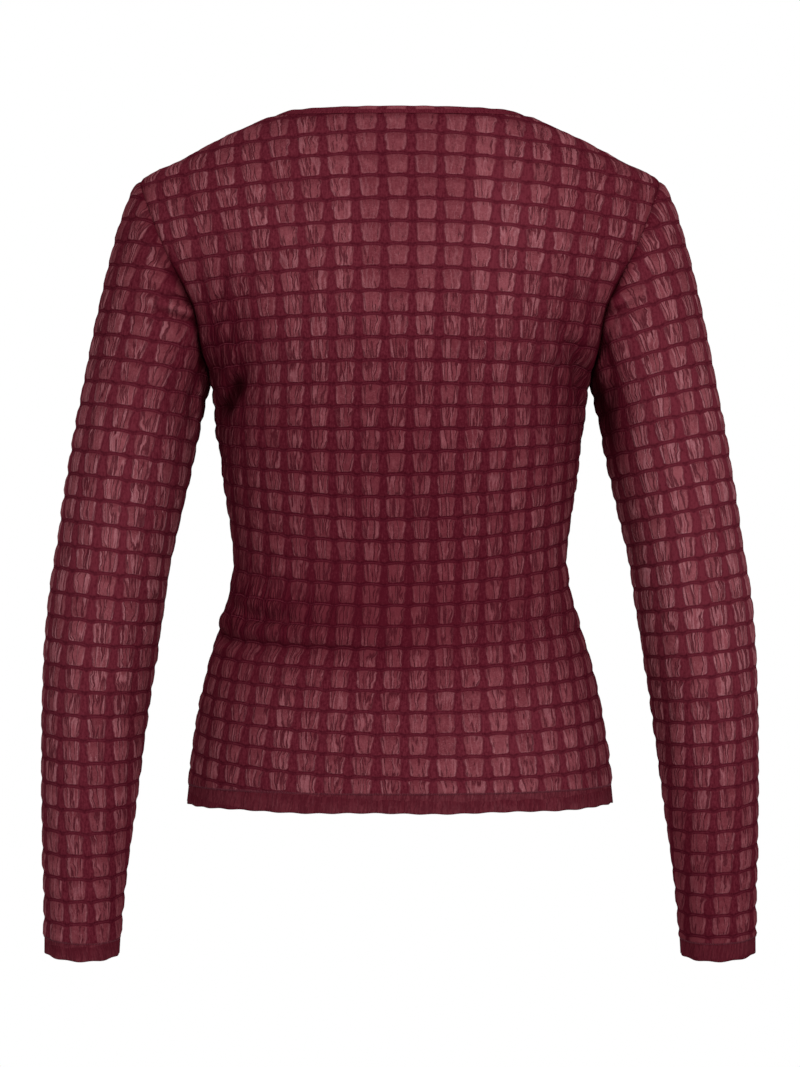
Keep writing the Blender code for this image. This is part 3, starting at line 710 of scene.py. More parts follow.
def cut(outline, extra, grid, column_parts, row_parts, margin):
    """Points of a pattern, its edge first, and the triangles between them."""
    whole_columns, whole_rows = np.arange(*grid.columns), np.arange(*grid.rows)
    columns = (whole_columns[:, None] + np.array(column_parts)).reshape(-1)
    rows = (whole_rows[:, None] + np.array(row_parts)).reshape(-1)
    column, row = (a.reshape(-1) for a in np.meshgrid(columns, rows))
    points = grid.flat(column, row + rib_bow(column % 1.0))
    low, high = outline.min(axis=0), outline.max(axis=0)
    points = points[((points > low) & (points < high)).all(axis=1)]
    fixed = np.concatenate([outline, extra])
    points = points[nearest(points, fixed) > margin]
    points = np.concatenate([fixed, points])
    loop = list(range(len(outline)))
    edges = [(i, (i + 1) % len(loop)) for i in loop]
    made, _, triangles, origin, _, _ = delaunay_2d_cdt([Vector(p) for p in points], edges, [loop], 1, 1e-7)
    if len(made) != len(points):
        raise ValueError("two points of a pattern coincide")
    triangles = np.array([o[0] for o in origin])[np.array(triangles)]
    used = np.unique(triangles)
    return points[used], np.searchsorted(used, triangles)


def panel(name, piece, finish, number):
    """One sewn panel as a thin closed shell: the puffed outside, a plain inside and the edge between them."""
    fine_flat, fine_triangles = cut(
        piece.outline, piece.line_points(), piece.grid, COLUMN_PARTS, ROW_PARTS, EDGE_MARGIN
    )
    plain_flat, plain_triangles = cut(
        piece.outline, np.empty((0, 2)), piece.grid, LINING_COLUMN_PARTS, LINING_ROW_PARTS, 2 * EDGE_MARGIN
    )
    edge = len(piece.outline)
    outer = piece.place(fine_flat, outside=True)
    inner = piece.place(plain_flat, outside=False)
    n = len(outer)
    key = np.round(piece.place(fine_flat[:edge], outside=None), 6)
    _, first, same = np.unique(key, axis=0, return_index=True, return_inverse=True)
    same = first[same.reshape(-1)]
    outer_number = np.concatenate([same, np.arange(edge, n)])
    inner_number = n + np.concatenate([same, np.arange(edge, len(inner))])
    shell, lining = outer_number[fine_triangles], inner_number[plain_triangles]
    points = np.concatenate([outer, inner])
    fine_squares, plain_squares = piece.grid.squares(fine_flat), piece.grid.squares(plain_flat)
    if piece.turned(points, shell) < 0:
        shell, fine_triangles = shell[:, ::-1], fine_triangles[:, ::-1]
    if piece.turned(points, lining) > 0:
        lining, plain_triangles = lining[:, ::-1], plain_triangles[:, ::-1]
    corners = {}
    for face, cut_face in zip(shell.tolist(), fine_triangles.tolist()):
        if min(cut_face) < edge:
            for i in range(3):
                corners[(face[i], face[(i + 1) % 3])] = (cut_face[i], cut_face[(i + 1) % 3])
    rim, rim_cut = [], []
    for (a, b), (cut_a, cut_b) in corners.items():
        if (b, a) not in corners and a < n and b < n and max(cut_a, cut_b) < edge:
            rim.append((b, a, a + n, b + n))
            rim_cut.append((cut_b, cut_a, cut_a, cut_b))
    faces = shell.tolist() + lining.tolist() + rim
    squares = np.concatenate(
        [
            fine_squares[fine_triangles.reshape(-1)],
            plain_squares[plain_triangles.reshape(-1)],
            fine_squares[np.array(rim_cut, int).reshape(-1)],
        ]
    )
    squares[:, 0] += COLUMNS_APART * number
    state = np.concatenate([piece.state(fine_flat, outer), piece.state(plain_flat, inner)])
    made = sewn(name, points, faces, squares, state, finish)
    return in_edit_mode(made, bpy.ops.mesh.delete_loose, use_verts=True, use_edges=False, use_faces=False)


def added(name, data):
    """A new object in the scene."""
    made = bpy.data.objects.new(name, data)
    bpy.context.scene.collection.objects.link(made)
    return made


def sewn(name, points, faces, squares, state, finish):
    """A piece from its points and faces, with the squares at its face corners and the state of its points."""
    mesh = bpy.data.meshes.new(name)
    mesh.from_pydata(np.asarray(points).tolist(), [], faces)
    layer = mesh.uv_layers.new(name="squares")
    layer.uv.foreach_set("vector", np.asarray(squares, np.float32).reshape(-1))
    colours = mesh.attributes.new("state", "FLOAT_COLOR", "POINT")
    colours.data.foreach_set("color", np.asarray(state, np.float32).reshape(-1))
    mesh.validate()
    mesh.shade_smooth()
    mesh.materials.append(finish)
    return added(name, mesh)


def in_edit_mode(made, operation, **options):
    """Runs an edit mode tool on the whole of one piece."""
    bpy.ops.object.select_all(action="DESELECT")
    bpy.context.view_layer.objects.active = made
    made.select_set(True)
    bpy.ops.object.mode_set(mode="EDIT")
    bpy.ops.mesh.select_all(action="SELECT")
    operation(**options)
    bpy.ops.object.mode_set(mode="OBJECT")
    made.select_set(False)
    return made


def turned_rows(steps, foot, edge_depth):
    """Rows of points along a turned edge: two where it is sewn down, and one just over its foot."""
    heights = (foot + edge_depth - TURN_ROW, foot + edge_depth + TURN_ROW, foot + FOOT_ROW)
    return np.concatenate([np.stack([steps, np.full_like(steps, height)], axis=1) for height in heights])


def turned_part(above_edge, edge_depth):
    """1 on a turned edge, 0 above it."""
    return 1 - smooth(edge_depth - TURN_STEP, edge_depth + TURN_STEP, above_edge)


class TorsoPanel:
    """The front (facing -1) or the back (facing 1)."""

    grid = TorsoGrid(TORSO_LINES, TORSO_COLUMNS)

    def __init__(self, facing, fold_table, light_table, gather_table, crease_table):
        self.facing, self.fold_table, self.crease_table = facing, fold_table, crease_table
        self.light_table, self.gather_table = light_table, gather_table
        self.hem_half = half_round(HEM_Z, facing)
        hem = even_steps(self.hem_half)
        hem_z = np.full_like(hem, HEM_Z)
        hem = torso_at(round_to_across(hem, hem_z, facing), hem_z, facing)
        side_z = np.linspace(HEM_Z, UNDERARM_Z, int((UNDERARM_Z - HEM_Z) / EDGE_STEP) + 1)[1:-1]
        arm = armhole(facing * np.linspace(math.pi, 0.0, ARMHOLE_STEPS + 1))
        neck = neck_line(NECK_SEAM, np.linspace(0.0, math.pi, NECK_STEPS + 1), facing)
        shoulder_z = np.linspace(SHOULDER_Z, neck[0][2], SHOULDER_STEPS)[1:-1]
        side, shoulder = (torso_at(along(HEIGHT, HALF_WIDTH, z), z, facing) for z in (side_z, shoulder_z))
        left = np.concatenate([side, arm, shoulder])
        self.edge = np.concatenate([hem, left, neck, left[::-1] * (-1, 1, 1)])
        across, height = self.edge[:, 0], self.edge[:, 2]
        self.outline = np.stack([across_to_round(across, height, facing), height], axis=1)
        self.outline[np.abs(self.outline) < 1e-9] = 0.0
        self.seam_line = self.outline[len(hem) - 1 :]

    def line_points(self):
        return turned_rows(even_steps(self.hem_half)[2:-2], HEM_Z, HEM_DEPTH)

    def place(self, flat, outside):
        """Points of the panel in space; with outside None, where its edge lies before anything moves it."""
        facing = self.facing
        across = in_parts(lambda d, z: round_to_across(d, z, facing), flat[:, 0], flat[:, 1])
        base = torso_at(across, flat[:, 1], facing)
        base[: len(self.edge)] = self.edge
        if outside is None:
            return base
        normal = torso_normal(base, facing)
        on_seam = np.abs(base[:, 1]) < 1e-6
        base[on_seam, 1] = facing * SEAM_GAP / 2
        normal[on_seam, 1] = 0.0
        return finished(self, base, normal, flat, flat[:, 1] - HEM_Z, HEM_DEPTH, outside)

    def turned(self, points, faces):
        return facing_out(points, faces, lambda middle: middle * (1, 1, 0))

    def state(self, flat, points):
        """What the material reads at each point: light, gathers, turned edge and creases."""
        hem = turned_part(flat[:, 1] - HEM_Z, HEM_DEPTH)
        across, height = points[:, 0], points[:, 2]
        light = TORSO_LEVEL + soft_patches(across, height, self.light_table)
        light -= seam_shade(flat, height, self.seam_line)
        gather = np.clip(soft_patches(across, height, self.gather_table), 0, 1)
        creased = np.clip(TORSO_CREASED_LEVEL + soft_patches(across, height, self.crease_table), 0.2, 1)
        return np.stack([np.clip(light, *LIGHT_RANGE), gather, hem, creased], axis=1)


class SleevePanel:
    """One sleeve: hand is 1 on the wearer's left and -1 on the right."""

    def __init__(self, hand, lines, columns, fold_table, light_table, shades):
        self.grid, self.hand, self.fold_table = SleeveGrid(lines, columns), hand, fold_table
        self.light_table, self.shades = light_table, shades
        cuff = np.linspace(-math.pi, math.pi, 2 * int(ARM_GIRTH / EDGE_STEP) + 1)
        head = np.linspace(math.pi, -math.pi, 2 * ARMHOLE_STEPS + 1)
        tops = ARM_ALONG[-1] + head_lengths(head)[1][:, -1]
        side = np.linspace(0.0, tops[0], int(tops[0] / EDGE_STEP) + 1)[1:-1]
        parts = [
            np.stack([ARM_GIRTH * cuff / math.pi, 0 * cuff], axis=1),
            np.stack([ARM_GIRTH + 0 * side, side], axis=1),
            np.stack([ARM_GIRTH * head / math.pi, tops], axis=1),
            np.stack([-ARM_GIRTH + 0 * side, side[::-1]], axis=1),
        ]
        self.outline = np.concatenate(parts)
        self.seam_line = np.concatenate([parts[0][-1:], *parts[1:], parts[0][:1]])

    def line_points(self):
        return turned_rows(even_steps(ARM_GIRTH)[1:-1], 0.0, CUFF_DEPTH)

    def place(self, flat, outside):
        angle, distance = math.pi * flat[:, 0] / ARM_GIRTH, flat[:, 1]
        base = in_parts(sleeve_at, angle, distance)
        mirror = np.array([self.hand, 1, 1])
        if outside is None:
            return base * mirror
        normal = in_parts(sleeve_normal, angle, distance)
        normal[np.isclose(np.abs(angle), math.pi), 1] = 0.0
        return finished(self, base, normal, flat, distance, CUFF_DEPTH, outside) * mirror

    def turned(self, points, faces):
        def away(middle):
            axis = np.stack([np.interp(middle[:, 2], ARM_Z, c) for c in (ARM_X * self.hand, ARM_Y)], axis=1)
            low = middle[:, 2:] < UNDERARM_Z - 0.02
            return np.concatenate([(middle[:, :2] - axis) * low, 0 * middle[:, :1]], axis=1)

        return facing_out(points, faces, away)

    def state(self, flat, points):
        """What the material reads at each point: light, gathers, turned edge and creases."""
        cuff = turned_part(flat[:, 1], CUFF_DEPTH)
        angle = math.pi * flat[:, 0] / ARM_GIRTH
        inner_side = smooth(1.5, 2.6, np.abs(angle))
        near_body = inner_side * smooth(0.36, 0.50, flat[:, 1])
        light = np.interp(flat[:, 1], *np.transpose(self.light_table)) + soft_patches(*flat.T, self.shades)
        light -= INNER_ARM_SHADE * (inner_side + near_body) + seam_shade(flat, points[:, 2], self.seam_line)
        gather = INNER_ARM_GATHERS * near_body
        creased = SLEEVE_CREASED_LEVEL - CUFF_LESS_CREASED * (1 - smooth(0.05, 0.20, flat[:, 1]))
        return np.stack([np.clip(light, *LIGHT_RANGE), gather, cuff, creased], axis=1)


def seam_shade(flat, height, seam_line):
    """Less light beside the seams, and far less in the valley of the lower armhole."""
    away = nearest(flat, seam_line)
    valley = smooth(-0.105, -0.150, height) * smooth(-0.235, -0.205, height)
    beside = SEAM_SHADE * np.exp(-((away / SEAM_SHADE_WIDTH) ** 2))
    return beside + VALLEY_SHADE * valley * np.exp(-((away / VALLEY_WIDTH) ** 2))


def facing_out(points, faces, away):
    """Above 0 where most faces look outwards."""
    a, b, c = (points[faces[:, i]] for i in range(3))
    return (np.cross(b - a, c - a) * away((a + b + c) / 3)).sum()


def finished(piece, base, normal, flat, above_edge, edge_depth, outside):
    """The cloth's points once puffs, folds, seams and the turned edge have moved them."""
    squares, to_seam = piece.grid.squares(flat), nearest(flat, piece.seam_line)
    turned_edge, u = turned_part(above_edge, edge_depth), squares[:, 0]
    large, small = EDGE_WAVES
    press = folds(flat, piece.fold_table) * smooth(0.0, 0.006, to_seam)
    press -= SEAM_RISE * smooth(0.0, 0.0025, to_seam)
    ripple = large * np.cos(2 * math.pi * (u - 0.5)) + small * np.sin(u * 2.1 + 1.7 * np.sin(u * 0.7))
    edge_wave = large * np.sin(u * 1.3) + small * np.cos(2 * math.pi * u)
    near_edge = 1 - smooth(0.0, 0.010, above_edge)
    ripple *= (0.4 + 0.6 * near_edge) * smooth(0.0, 0.006, to_seam)
    out = turned_edge * ripple - press
    if outside:
        flatness = smooth(0.0003, 0.0060, to_seam) * (1 - turned_edge)
        out += PUFF * puffs(squares) * flatness
    else:
        out -= CLOTH + (HEM_CLOTH - CLOTH) * turned_edge
    points = base + unit(normal) * out[:, None]
    points[:, 2] += edge_wave * near_edge
    return points


# Materials.


class Reading:
    """A value of a material. Sums with it add Math nodes."""

    def __init__(self, finish, socket):
        self.finish, self.socket = finish, socket

    def math(self, operation, *others):
        return self.finish.node("ShaderNodeMath", {"operation": operation}, dict(enumerate((self, *others))))

    def __add__(self, other):
        return self.math("ADD", other)

    def __sub__(self, other):
        return self.math("SUBTRACT", other)

    def __mul__(self, other):
        return self.math("MULTIPLY", other)

    def __truediv__(self, other):
        return self.math("DIVIDE", other)

    def __mod__(self, other):
        return self.math("FLOORED_MODULO", other)

    def __rsub__(self, other):
        return self.finish.node("ShaderNodeMath", {"operation": "SUBTRACT"}, {0: other, 1: self})

    __radd__ = __add__
    __rmul__ = __mul__

    def floor(self):
        return self.math("FLOOR")

    def size(self):
        return self.math("ABSOLUTE")

    def least(self, other):
        return self.math("MINIMUM", other)

    def most(self, other):
        return self.math("MAXIMUM", other)

    def step(self, low, high):
        """0 below low, 1 above high, and a soft step between."""
        sockets = {"Value": self, "From Min": low, "From Max": high}
        return self.finish.node("ShaderNodeMapRange", {"interpolation_type": "SMOOTHSTEP"}, sockets)


class Finish:
    """A material, made from its nodes."""

    def __init__(self, name, roughness, **constants):
        self.material = bpy.data.materials.new(name)
        self.material.use_nodes = True
        self.tree = self.material.node_tree
        self.surface = self.tree.nodes["Principled BSDF"]
        self.surface.inputs["Roughness"].default_value = roughness
        for socket, value in constants.items():
            self.surface.inputs[socket.replace("_", " ")].default_value = value

    def node(self, kind, settings=None, sockets=None, output=0):
        made = self.tree.nodes.new(kind)
        for key, value in (settings or {}).items():
            setattr(made, key, value)
        for key, value in (sockets or {}).items():
            self.feed(made.inputs[key], value)
        return Reading(self, made.outputs[output])

    def feed(self, socket, value):
        if isinstance(value, Reading):
            self.tree.links.new(value.socket, socket)
        else:
            socket.default_value = value

    def mix(self, share, first, second):
        """A colour between two."""
        first, second = ((*c, 1.0) if isinstance(c, tuple) else c for c in (first, second))
        return self.node("ShaderNodeMix", {"data_type": "RGBA"}, {0: share, 6: first, 7: second}, output=2)

    def place(self, x, y, z=0.0):
        return self.node("ShaderNodeCombineXYZ", None, {0: x, 1: y, 2: z})

    def noise(self, place, scale=1.0, detail=2.0, roughness=0.5):
        sockets = {"Vector": place, "Scale": scale, "Detail": detail, "Roughness": roughness}
        return self.node("ShaderNodeTexNoise", None, sockets)

    def object_place(self):
        return self.node("ShaderNodeTexCoord", output="Object")

    def split(self, vector):
        """The three parts of a vector."""
        first = self.node("ShaderNodeSeparateXYZ", None, {0: vector})
        return [Reading(self, output) for output in first.socket.node.outputs]

    def squares(self):
        """Where a point lies among the squares, across and up."""
        return self.split(self.node("ShaderNodeUVMap", {"uv_map": "squares"}))[:2]

    def state(self):
        """The light, gathers, turned edge and creases that the cloth carries."""
        read = self.node("ShaderNodeAttribute", {"attribute_name": "state"}, output="Vector")
        return *self.split(read), Reading(self, read.socket.node.outputs["Alpha"])

    def surfaces(self, colour, roughness, height):
        """Gives the surface its colour, roughness and relief in millimetres."""
        self.feed(self.surface.inputs["Base Color"], colour)
        self.feed(self.surface.inputs["Roughness"], roughness)
        sockets = {"Strength": 1.0, "Distance": 0.001, "Height": height}
        self.feed(self.surface.inputs["Normal"], self.node("ShaderNodeBump", None, sockets))
        return self.material


# Colours of the cloth, from the dark between the puffs to the shine on their creases. The band and puff colours
# are its own tones, which the painted light mixes between; the crevice and valley colours are painted shade,
# and the glint is a painted highlight.
BAND_DARK, BAND = (0.058, 0.0047, 0.0102), (0.115, 0.0165, 0.0266)
PATCH_DIM, PATCH_LIGHT = (0.105, 0.0176, 0.0250), (0.202, 0.0525, 0.0640)
CREVICE_SHADE, RIB, GLINT = (0.034, 0.0018, 0.0060), (0.140, 0.0240, 0.0380), (0.420, 0.200, 0.225)
VALLEY_SHADE_COLOUR = (0.010, 0.0006, 0.0015)
THREAD_DARK, THREAD_LIGHT = (0.055, 0.008, 0.015), (0.110, 0.020, 0.032)


def puffed_mesh():
    """The crinkled mesh: light sheer puffs between dark upright bands and thin ribs."""
    cloth = Finish("puffed_mesh", 0.6, Specular_IOR_Level=0.0)
    u, v = cloth.squares()
    light, gather, turned, creased = cloth.state()
    # The painted light, and below 0 the painted shade of a deep hollow.
    deep, light = (light * -1.0).most(0.0).least(0.85), light.most(0.0)
    place = cloth.object_place()
    wander = cloth.noise(place, 140.0, 1.0) - 0.5
    crinkle = cloth.noise(place, 520.0, 2.0, 0.6) - 0.5

    part = u % 1.0
    arched = v - rib_bow(part) + wander * 0.06
    column, row, up = u.floor(), arched.floor(), arched % 1.0
    of_square = seed(column, row)
    strands = cloth.noise(cloth.place(u * 15.0, arched * 2.8, row * 7.0), 1.0, 2.0, 0.65) - 0.5
    side = part - 0.5 - (chance(of_square, 0) - 0.5) * RIB_STRAY
    half = up * (PATCH_HIGH - PATCH_LOW) + (PATCH_LOW - 0.014) + chance(of_square, 23) * 0.028
    fan = side / (half + wander * 0.12)
    sideways = fan.size()
    frayed = sideways + strands * 0.34 + crinkle * 0.22
    corner = sideways * sideways * sideways * sideways  # large only near the bands
    foot = (up - corner * 0.08 + crinkle * 0.04).step(0.066, 0.104)
    head = 1 - (up + corner * 0.04 + crinkle * 0.08 + strands * 0.06).step(0.900, 0.955)
    patch = (1 - frayed.step(0.88, 1.10)) * foot * head * (1 - turned * 0.86)
    # Painted shade along the frayed edge of each puff, where it stands out from the band.
    brim_shade = frayed.step(0.90, 1.04) * (1 - frayed.step(1.12, 1.34)) * head
    brim_shade = brim_shade * (chance(of_square, 31) * 0.6 + 0.4) * (1 - turned)
    # Painted shadow: a dark line along each rib, under the puff that overhangs it, which gathers into a dark
    # spot where it crosses a band.
    ends = up.least(1 - up)
    line = (1 - ends.step(0.054, 0.090)) * (1 - turned)
    rib = (1 - ends.step(0.008, 0.024)) * (1 - turned)
    shaded_knot = (1 - ends.step(0.04, 0.13)) * sideways.step(1.0, 1.40) * (1 - turned)
    shade = (up + strands * 0.3).step(0.50, 0.95) * (chance(of_square, 25) * 0.5 + 0.5)

    own = column * 3.17 + row * 7.31
    pulls = cloth.noise(cloth.place(fan * 3.2, arched * 1.9, own), 1.0, 2.0, 0.6) - 0.5
    pull = (pulls + wander * 0.6).step(0.03, 0.20)
    bends = cloth.noise(cloth.place(fan * 1.9 + wander * 0.9, arched * 0.42, own), 1.0, 1.5, 0.5) - 0.5
    crease = 1 - (bends + crinkle * 0.04).size().step(0.006, 0.052)
    crease = crease * (pulls * 1.6 + creased - 0.42).step(0.0, 0.30)
    # Painted highlight along the ridge beside each crease.
    lit_ridge = bends.step(0.040, 0.075) * (1 - bends.step(0.085, 0.150)) * creased
    slanted = u * 6.5 + arched * 0.9 + wander * 1.0
    gathers = cloth.noise(cloth.place(slanted, arched * 0.5, row * 3.7), 1.0, 1.5, 0.5) - 0.5
    gathered = (1 - gathers.size().step(0.0, 0.090)) * gather.most(turned * 0.45)
    # Painted highlight on the crests of the gathers.
    lit_crest = gathers.step(0.07, 0.14) * (1 - gathers.step(0.15, 0.24)) * gather
    speckle = cloth.noise(place, 1300.0, 1.0, 0.6) - 0.5

    # The tones of the bands and puffs with their random grain, lightened and darkened by the painted light, the
    # painted shade at the head of each puff and the painted highlights.
    band_tone_and_light = strands * 1.3 + crinkle + light * 0.85 - turned * 0.42
    patch_tone_and_light = light * (chance(of_square, 17) * 0.50 + 0.66) + strands * 0.75 + wander * 0.7
    patch_tone_and_light = patch_tone_and_light + crinkle * 0.9 - shade * 0.42 + lit_ridge * 0.30 + lit_crest * 0.5
    band_colour = cloth.mix(band_tone_and_light.step(0.0, 1.0), BAND_DARK, BAND)
    patch_colour = cloth.mix(patch_tone_and_light.step(0.0, 1.25), PATCH_DIM, PATCH_LIGHT)
    colour = cloth.mix((patch * (1 - gather * 0.50)).most(turned * 0.36), band_colour, patch_colour)
    # Painted highlights: glints along the rims of the puffs, beside the creases, on specks and strands of the
    # yarn and on the crests of the gathers, all scaled by the painted light.
    edges = sideways.step(0.68, 0.86) * (1 - up * 0.6) * chance(of_square, 19)
    rim = (edges.most((1 - up.step(0.085, 0.150)) * chance(of_square, 27) * 0.7) * (strands + 0.72)).most(0.0)
    glint = rim * 0.50 + lit_ridge * 0.40 + speckle.step(0.08, 0.26) * 0.30 + strands.step(0.16, 0.32) * 0.35
    glint = glint * (speckle + 0.80) * patch * light * (1 - gather * 0.6)
    glint = glint + lit_crest * (strands + 0.5) * (light + 0.2) * 0.30
    colour = cloth.mix(glint.least(0.75), colour, GLINT)
    # Painted shade in the creases, the soft streaks, the pleats of the turned edges and the valleys of the
    # gathers, and along the ribs, at the crossings and beside the puffs.
    dark = (crease * patch * 0.66).most(pull * (patch * 0.22).most(turned * 0.34)).most(gathered * 0.80)
    colour = cloth.mix(dark.most(line * 0.40).most(shaded_knot * 0.58).most(brim_shade * 0.32), colour, CREVICE_SHADE)
    colour = cloth.mix(rib * (1 - shaded_knot) * (gather * 0.35 + 0.30), colour, RIB)
    # Painted shade in the deep hollows, where the painted light falls below 0.
    colour = cloth.mix(deep, colour, VALLEY_SHADE_COLOUR)
    height = patch * 0.16 + strands * 0.16 + crinkle * patch * 0.22 - crease * patch * 0.40
    height = height + (rim * 0.08 + lit_ridge * 0.12 - pull * 0.20) * patch + lit_crest * 0.2
    height = height - gathered * 0.55 - line * 0.12 + rib * 0.08 - shaded_knot * 0.22 - brim_shade * 0.16
    return cloth.surfaces(colour, 0.66 - patch * 0.14, height)


def folded_binding():
    """The neck strip: the same mesh, folded and drawn smooth, with the squares only faint."""
    strip = Finish("folded_binding", 0.6, Specular_IOR_Level=0.0)
    u, v = strip.squares()
    light = strip.state()[0]
    strands = strip.noise(strip.place(u * 30.0, v * 3.0, 1.0), 1.0, 2.0, 0.6) - 0.5
    patch = (1 - (u % 1.0 - 0.5).size().step(0.28, 0.36)) * v.step(0.40, 0.52)
    patch = patch * (1 - v.step(0.84, 0.95)) * light
    colour = strip.mix((strands * 2.4 + 0.5).step(0.0, 1.0), BAND_DARK, BAND)
    colour = strip.mix(patch * (strands + 0.75), colour, PATCH_LIGHT)
    return strip.surfaces(colour, 0.62 - patch * 0.12, strands * 0.14 + patch * 0.15)


def sewing_thread():
    """Matt burgundy thread with its twist."""
    thread = Finish("sewing_thread", 0.7, Specular_IOR_Level=0.2)
    twist = thread.noise(thread.object_place(), 1800.0, 1.0)
    colour = thread.mix(twist.step(0.35, 0.65), THREAD_DARK, THREAD_LIGHT)
    return thread.surfaces(colour, 0.72, twist * 0.06)


# The neck binding.


def neck_binding(name, finish):
    """A folded strip round the neck, rounded over its top, that stands on the panels' neck seam."""
    angles = np.linspace(0.0, math.pi, NECK_STEPS + 1)
    stations = [(a, 1) for a in angles] + [(a, -1) for a in angles[1:-1][::-1]]
    half = BINDING_CLOTH / 2
    large, small = BINDING_CELLS
    # Outside from the seam up, over the fold, and down the inside.
    profile = [(up, half) for up in (0.0, 0.12, 0.30, 0.50, 0.68, 0.82)]
    profile += [(0.82 + 0.18 * math.sin(a), half * math.cos(a)) for a in np.linspace(0.35, math.pi - 0.35, 7)]
    profile += [(up, -half) for up in (0.82, 0.60, 0.38, 0.16, 0.0)]
    points, squares, states = [], [], []
    for angle, facing in stations:
        low, high = (neck_line(line, np.array(angle), facing) for line in (NECK_SEAM, NECK_EDGE))
        ways = [torso_normal(low, facing), torso_normal(high, facing)]
        if angle in (0.0, math.pi):
            ways = [unit(way * (1, 0, 1)) for way in ways]
        start = low + SEAM_GAP * unit(high - low)
        flat = np.array([[float(across_to_round(low[:1], low[2:3], facing)[0]), low[2]]])
        column = TorsoPanel.grid.squares(flat)[0, 0]
        cell = large * math.cos(2 * math.pi * (column - 0.5)) + small * math.sin(column * 9.0)
        lit = math.exp(-((low[0] / 0.040) ** 4)) if facing > 0 else 0.25
        for up, off in profile:
            roll = BINDING_ROLL * math.sin(math.pi * min(up, 1.0))
            out = off + BINDING_STAND - half + (cell + roll) * (off > 0)
            points.append(start + (high - low) * up + out * unit((1 - up) * ways[0] + up * ways[1]))
            squares.append((column + 5 * COLUMNS_APART, up if off > 0 else 1.6 - up))
            states.append((lit, 0.0, 0.0, 1.0))
    count, corners = len(stations), len(profile)
    faces = []
    for s in range(count):
        for c in range(corners):
            after, beside = (s + 1) % count, (c + 1) % corners
            faces.append([k * corners + m for k, m in ((s, c), (after, c), (after, beside), (s, beside))])
    made = sewn(name, points, faces, np.array(squares)[np.array(faces).reshape(-1)], states, finish)
    return in_edit_mode(made, bpy.ops.mesh.normals_make_consistent, inside=False)


# The stitches that hold the turned hem and cuffs.


def row_on(piece, distances, height):
    """Points on the outside of a finished panel, at these distances round it."""
    row = np.stack([distances, np.full_like(distances, height)], axis=1)
    return piece.place(np.concatenate([piece.outline, row]), outside=True)[len(piece.outline) :]


def stitches(name, path, finish):
    """A row of small slanting stitches: one stitch, repeated along the path."""
    line = bpy.data.curves.new(name + "_path", "CURVE")
    line.dimensions, line.twist_mode = "3D", "Z_UP"
    spline = line.splines.new("POLY")
    spline.points.add(len(path) - 1)
    spline.points.foreach_set("co", np.c_[path, np.ones(len(path))].astype(np.float32).reshape(-1))
    spline.use_cyclic_u = True
    guide = added(name + "_path", line)
    length = float(np.linalg.norm(path - np.roll(path, 1, axis=0), axis=1).sum())
    count = round(length / STITCH_PITCH)

    bpy.ops.object.select_all(action="DESELECT")
    bpy.ops.mesh.primitive_uv_sphere_add(segments=6, ring_count=4, radius=STITCH_HEIGHT / 2, location=(0, 0, 0))
    made = bpy.context.object
    made.name = name
    bpy.ops.object.mode_set(mode="EDIT")
    bpy.ops.mesh.select_all(action="SELECT")
    bpy.ops.transform.resize(value=(STITCH_WIDTH / STITCH_HEIGHT, 0.8 * STITCH_WIDTH / STITCH_HEIGHT, 1.0))
    bpy.ops.transform.rotate(value=STITCH_SLANT, orient_axis="Y", center_override=(0, 0, 0))
    bpy.ops.object.mode_set(mode="OBJECT")
    row = made.modifiers.new("row", "ARRAY")
    row.count = count
    row.use_relative_offset, row.use_constant_offset = False, True
    row.constant_offset_displace = (length / count, 0, 0)
    bend = made.modifiers.new("bend", "CURVE")
    bend.object, bend.deform_axis = guide, "POS_X"
    for modifier in ("row", "bend"):
        bpy.ops.object.modifier_apply(modifier=modifier)
    made.data.shade_smooth()
    made.data.materials.append(finish)
    made.select_set(False)
    bpy.data.objects.remove(guide)
    return made


# The garment.

mesh_finish = puffed_mesh()
back_panel = TorsoPanel(1, BACK_FOLDS, TORSO_LIGHT + BACK_HOLLOW_SHADE, TORSO_GATHERS, TORSO_CREASED)
front_panel = TorsoPanel(-1, FRONT_FOLDS, TORSO_LIGHT, TORSO_GATHERS, TORSO_CREASED)
left_panel = SleevePanel(1, LEFT_LINES, LEFT_COLUMNS, LEFT_FOLDS, LEFT_LIGHT, LEFT_SHADES)
right_panel = SleevePanel(-1, RIGHT_LINES, RIGHT_COLUMNS, RIGHT_FOLDS, RIGHT_LIGHT, RIGHT_SHADES)

PANELS = (
    ("back", back_panel),
    ("front", front_panel),
    ("sleeve_left", left_panel),
    ("sleeve_right", right_panel),
)


for number, (node, piece) in enumerate(PANELS):
    cloth = panel(node + "_cloth", piece, mesh_finish, number)
    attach(cloth, "root")
    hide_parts(node)

neck = neck_binding("neck_binding_strip", folded_binding())
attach(neck, "root")
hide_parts("neck_binding")

thread = sewing_thread()
stitch_z = HEM_Z + HEM_DEPTH
hem_rows = []
for piece in (back_panel, front_panel):
    half = half_round(stitch_z, piece.facing) - STITCH_END
    distances = np.linspace(-half, half, HEM_STITCH_POINTS) * piece.facing
    hem_rows.append(row_on(piece, distances, stitch_z))
seams = [("hem_stitches", np.concatenate(hem_rows))]
for name, piece in (("cuff_stitches_left", left_panel), ("cuff_stitches_right", right_panel)):
    distances = np.linspace(-ARM_GIRTH, ARM_GIRTH, CUFF_STITCH_POINTS + 1)[:-1]
    distances += ARM_GIRTH / CUFF_STITCH_POINTS
    seams.append((name, row_on(piece, distances, CUFF_DEPTH)))
for name, path in seams:
    row = stitches(name, path, thread)
    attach(row, "root")

# Floor, light and camera.

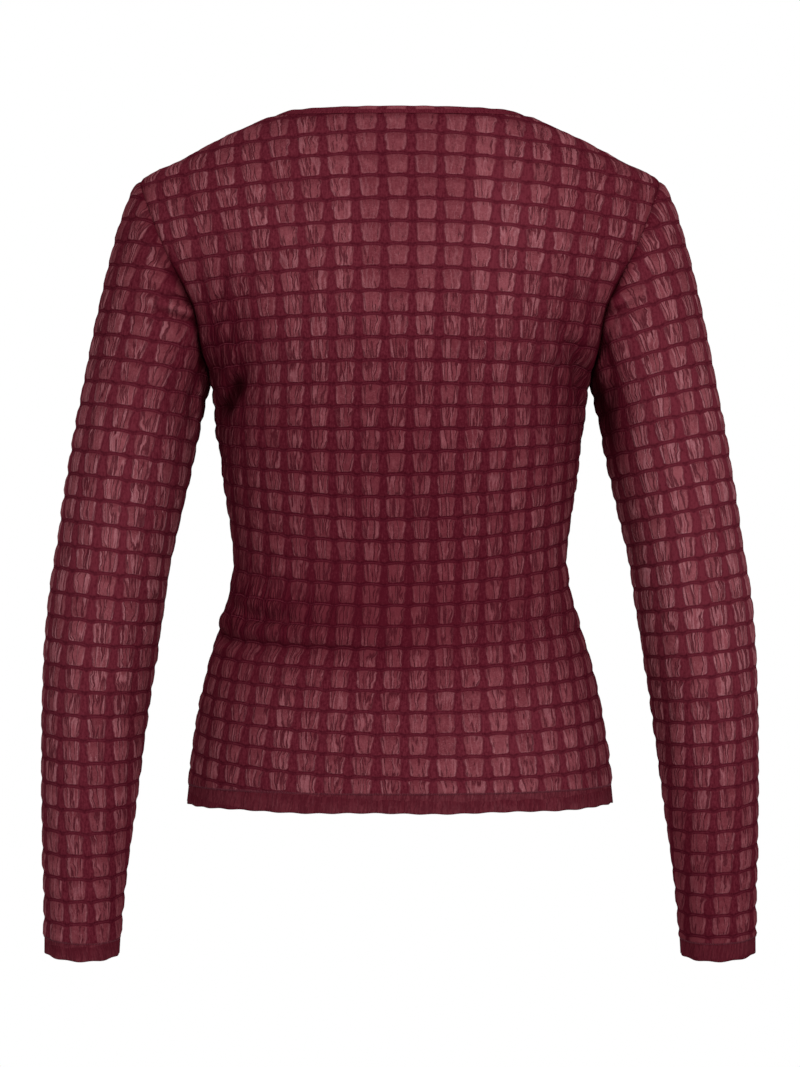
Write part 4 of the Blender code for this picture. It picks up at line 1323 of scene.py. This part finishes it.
bpy.ops.mesh.primitive_circle_add(vertices=96, radius=1.3, fill_type="NGON", location=(0, 0, -1.40))
floor = bpy.context.object
floor.name = "floor"
floor.data.materials.append(Finish("pale_floor", 0.8, Base_Color=(0.86, 0.86, 0.86, 1.0)).material)


def soft_light(name, place, aim, size, power):
    lamp = bpy.data.lights.new(name, "AREA")
    lamp.shape, lamp.size, lamp.energy = "SQUARE", size, power
    made = added(name, lamp)
    made.location = place
    made.rotation_euler = (Vector(aim) - Vector(place)).to_track_quat("-Z", "Y").to_euler()


CENTRE = (0, 0, -0.34)
soft_light("key", (-1.3, 2.5, 1.0), CENTRE, 1.1, 67)
soft_light("fill", (1.5, 2.4, 0.5), CENTRE, 1.2, 23)
soft_light("front_key", (1.3, -2.5, 1.0), CENTRE, 1.1, 67)
soft_light("front_fill", (-1.5, -2.4, 0.5), CENTRE, 1.2, 23)

# A white backdrop all round, that lights the garment only softly.
BACKDROP_LIGHT = 0.46
world = bpy.data.worlds.new("studio")
world.use_nodes = True
nodes, join = world.node_tree.nodes, world.node_tree.links.new
backdrop, seen = nodes["Background"], nodes.new("ShaderNodeLightPath")
dimmer = nodes.new("ShaderNodeMapRange")
backdrop.inputs["Color"].default_value = (1, 1, 1, 1)
dimmer.inputs["To Min"].default_value = BACKDROP_LIGHT
join(seen.outputs["Is Camera Ray"], dimmer.inputs["Value"])
join(dimmer.outputs["Result"], backdrop.inputs["Strength"])
bpy.context.scene.world = world
bpy.context.scene.view_settings.view_transform = "Standard"

FRAME_HEIGHT = 0.8536  # of the photo's frame, at the garment
CAMERA_DISTANCE, CAMERA_HEIGHT = 2.4, -0.337
SENSOR = 36  # millimetres
camera = added("camera", bpy.data.cameras.new("camera"))
camera.data.sensor_width = SENSOR
camera.data.lens = SENSOR * CAMERA_DISTANCE / FRAME_HEIGHT
camera.location = (0, CAMERA_DISTANCE, CAMERA_HEIGHT)
camera.rotation_euler = (math.radians(90), 0, math.radians(180))
bpy.context.scene.camera = camera
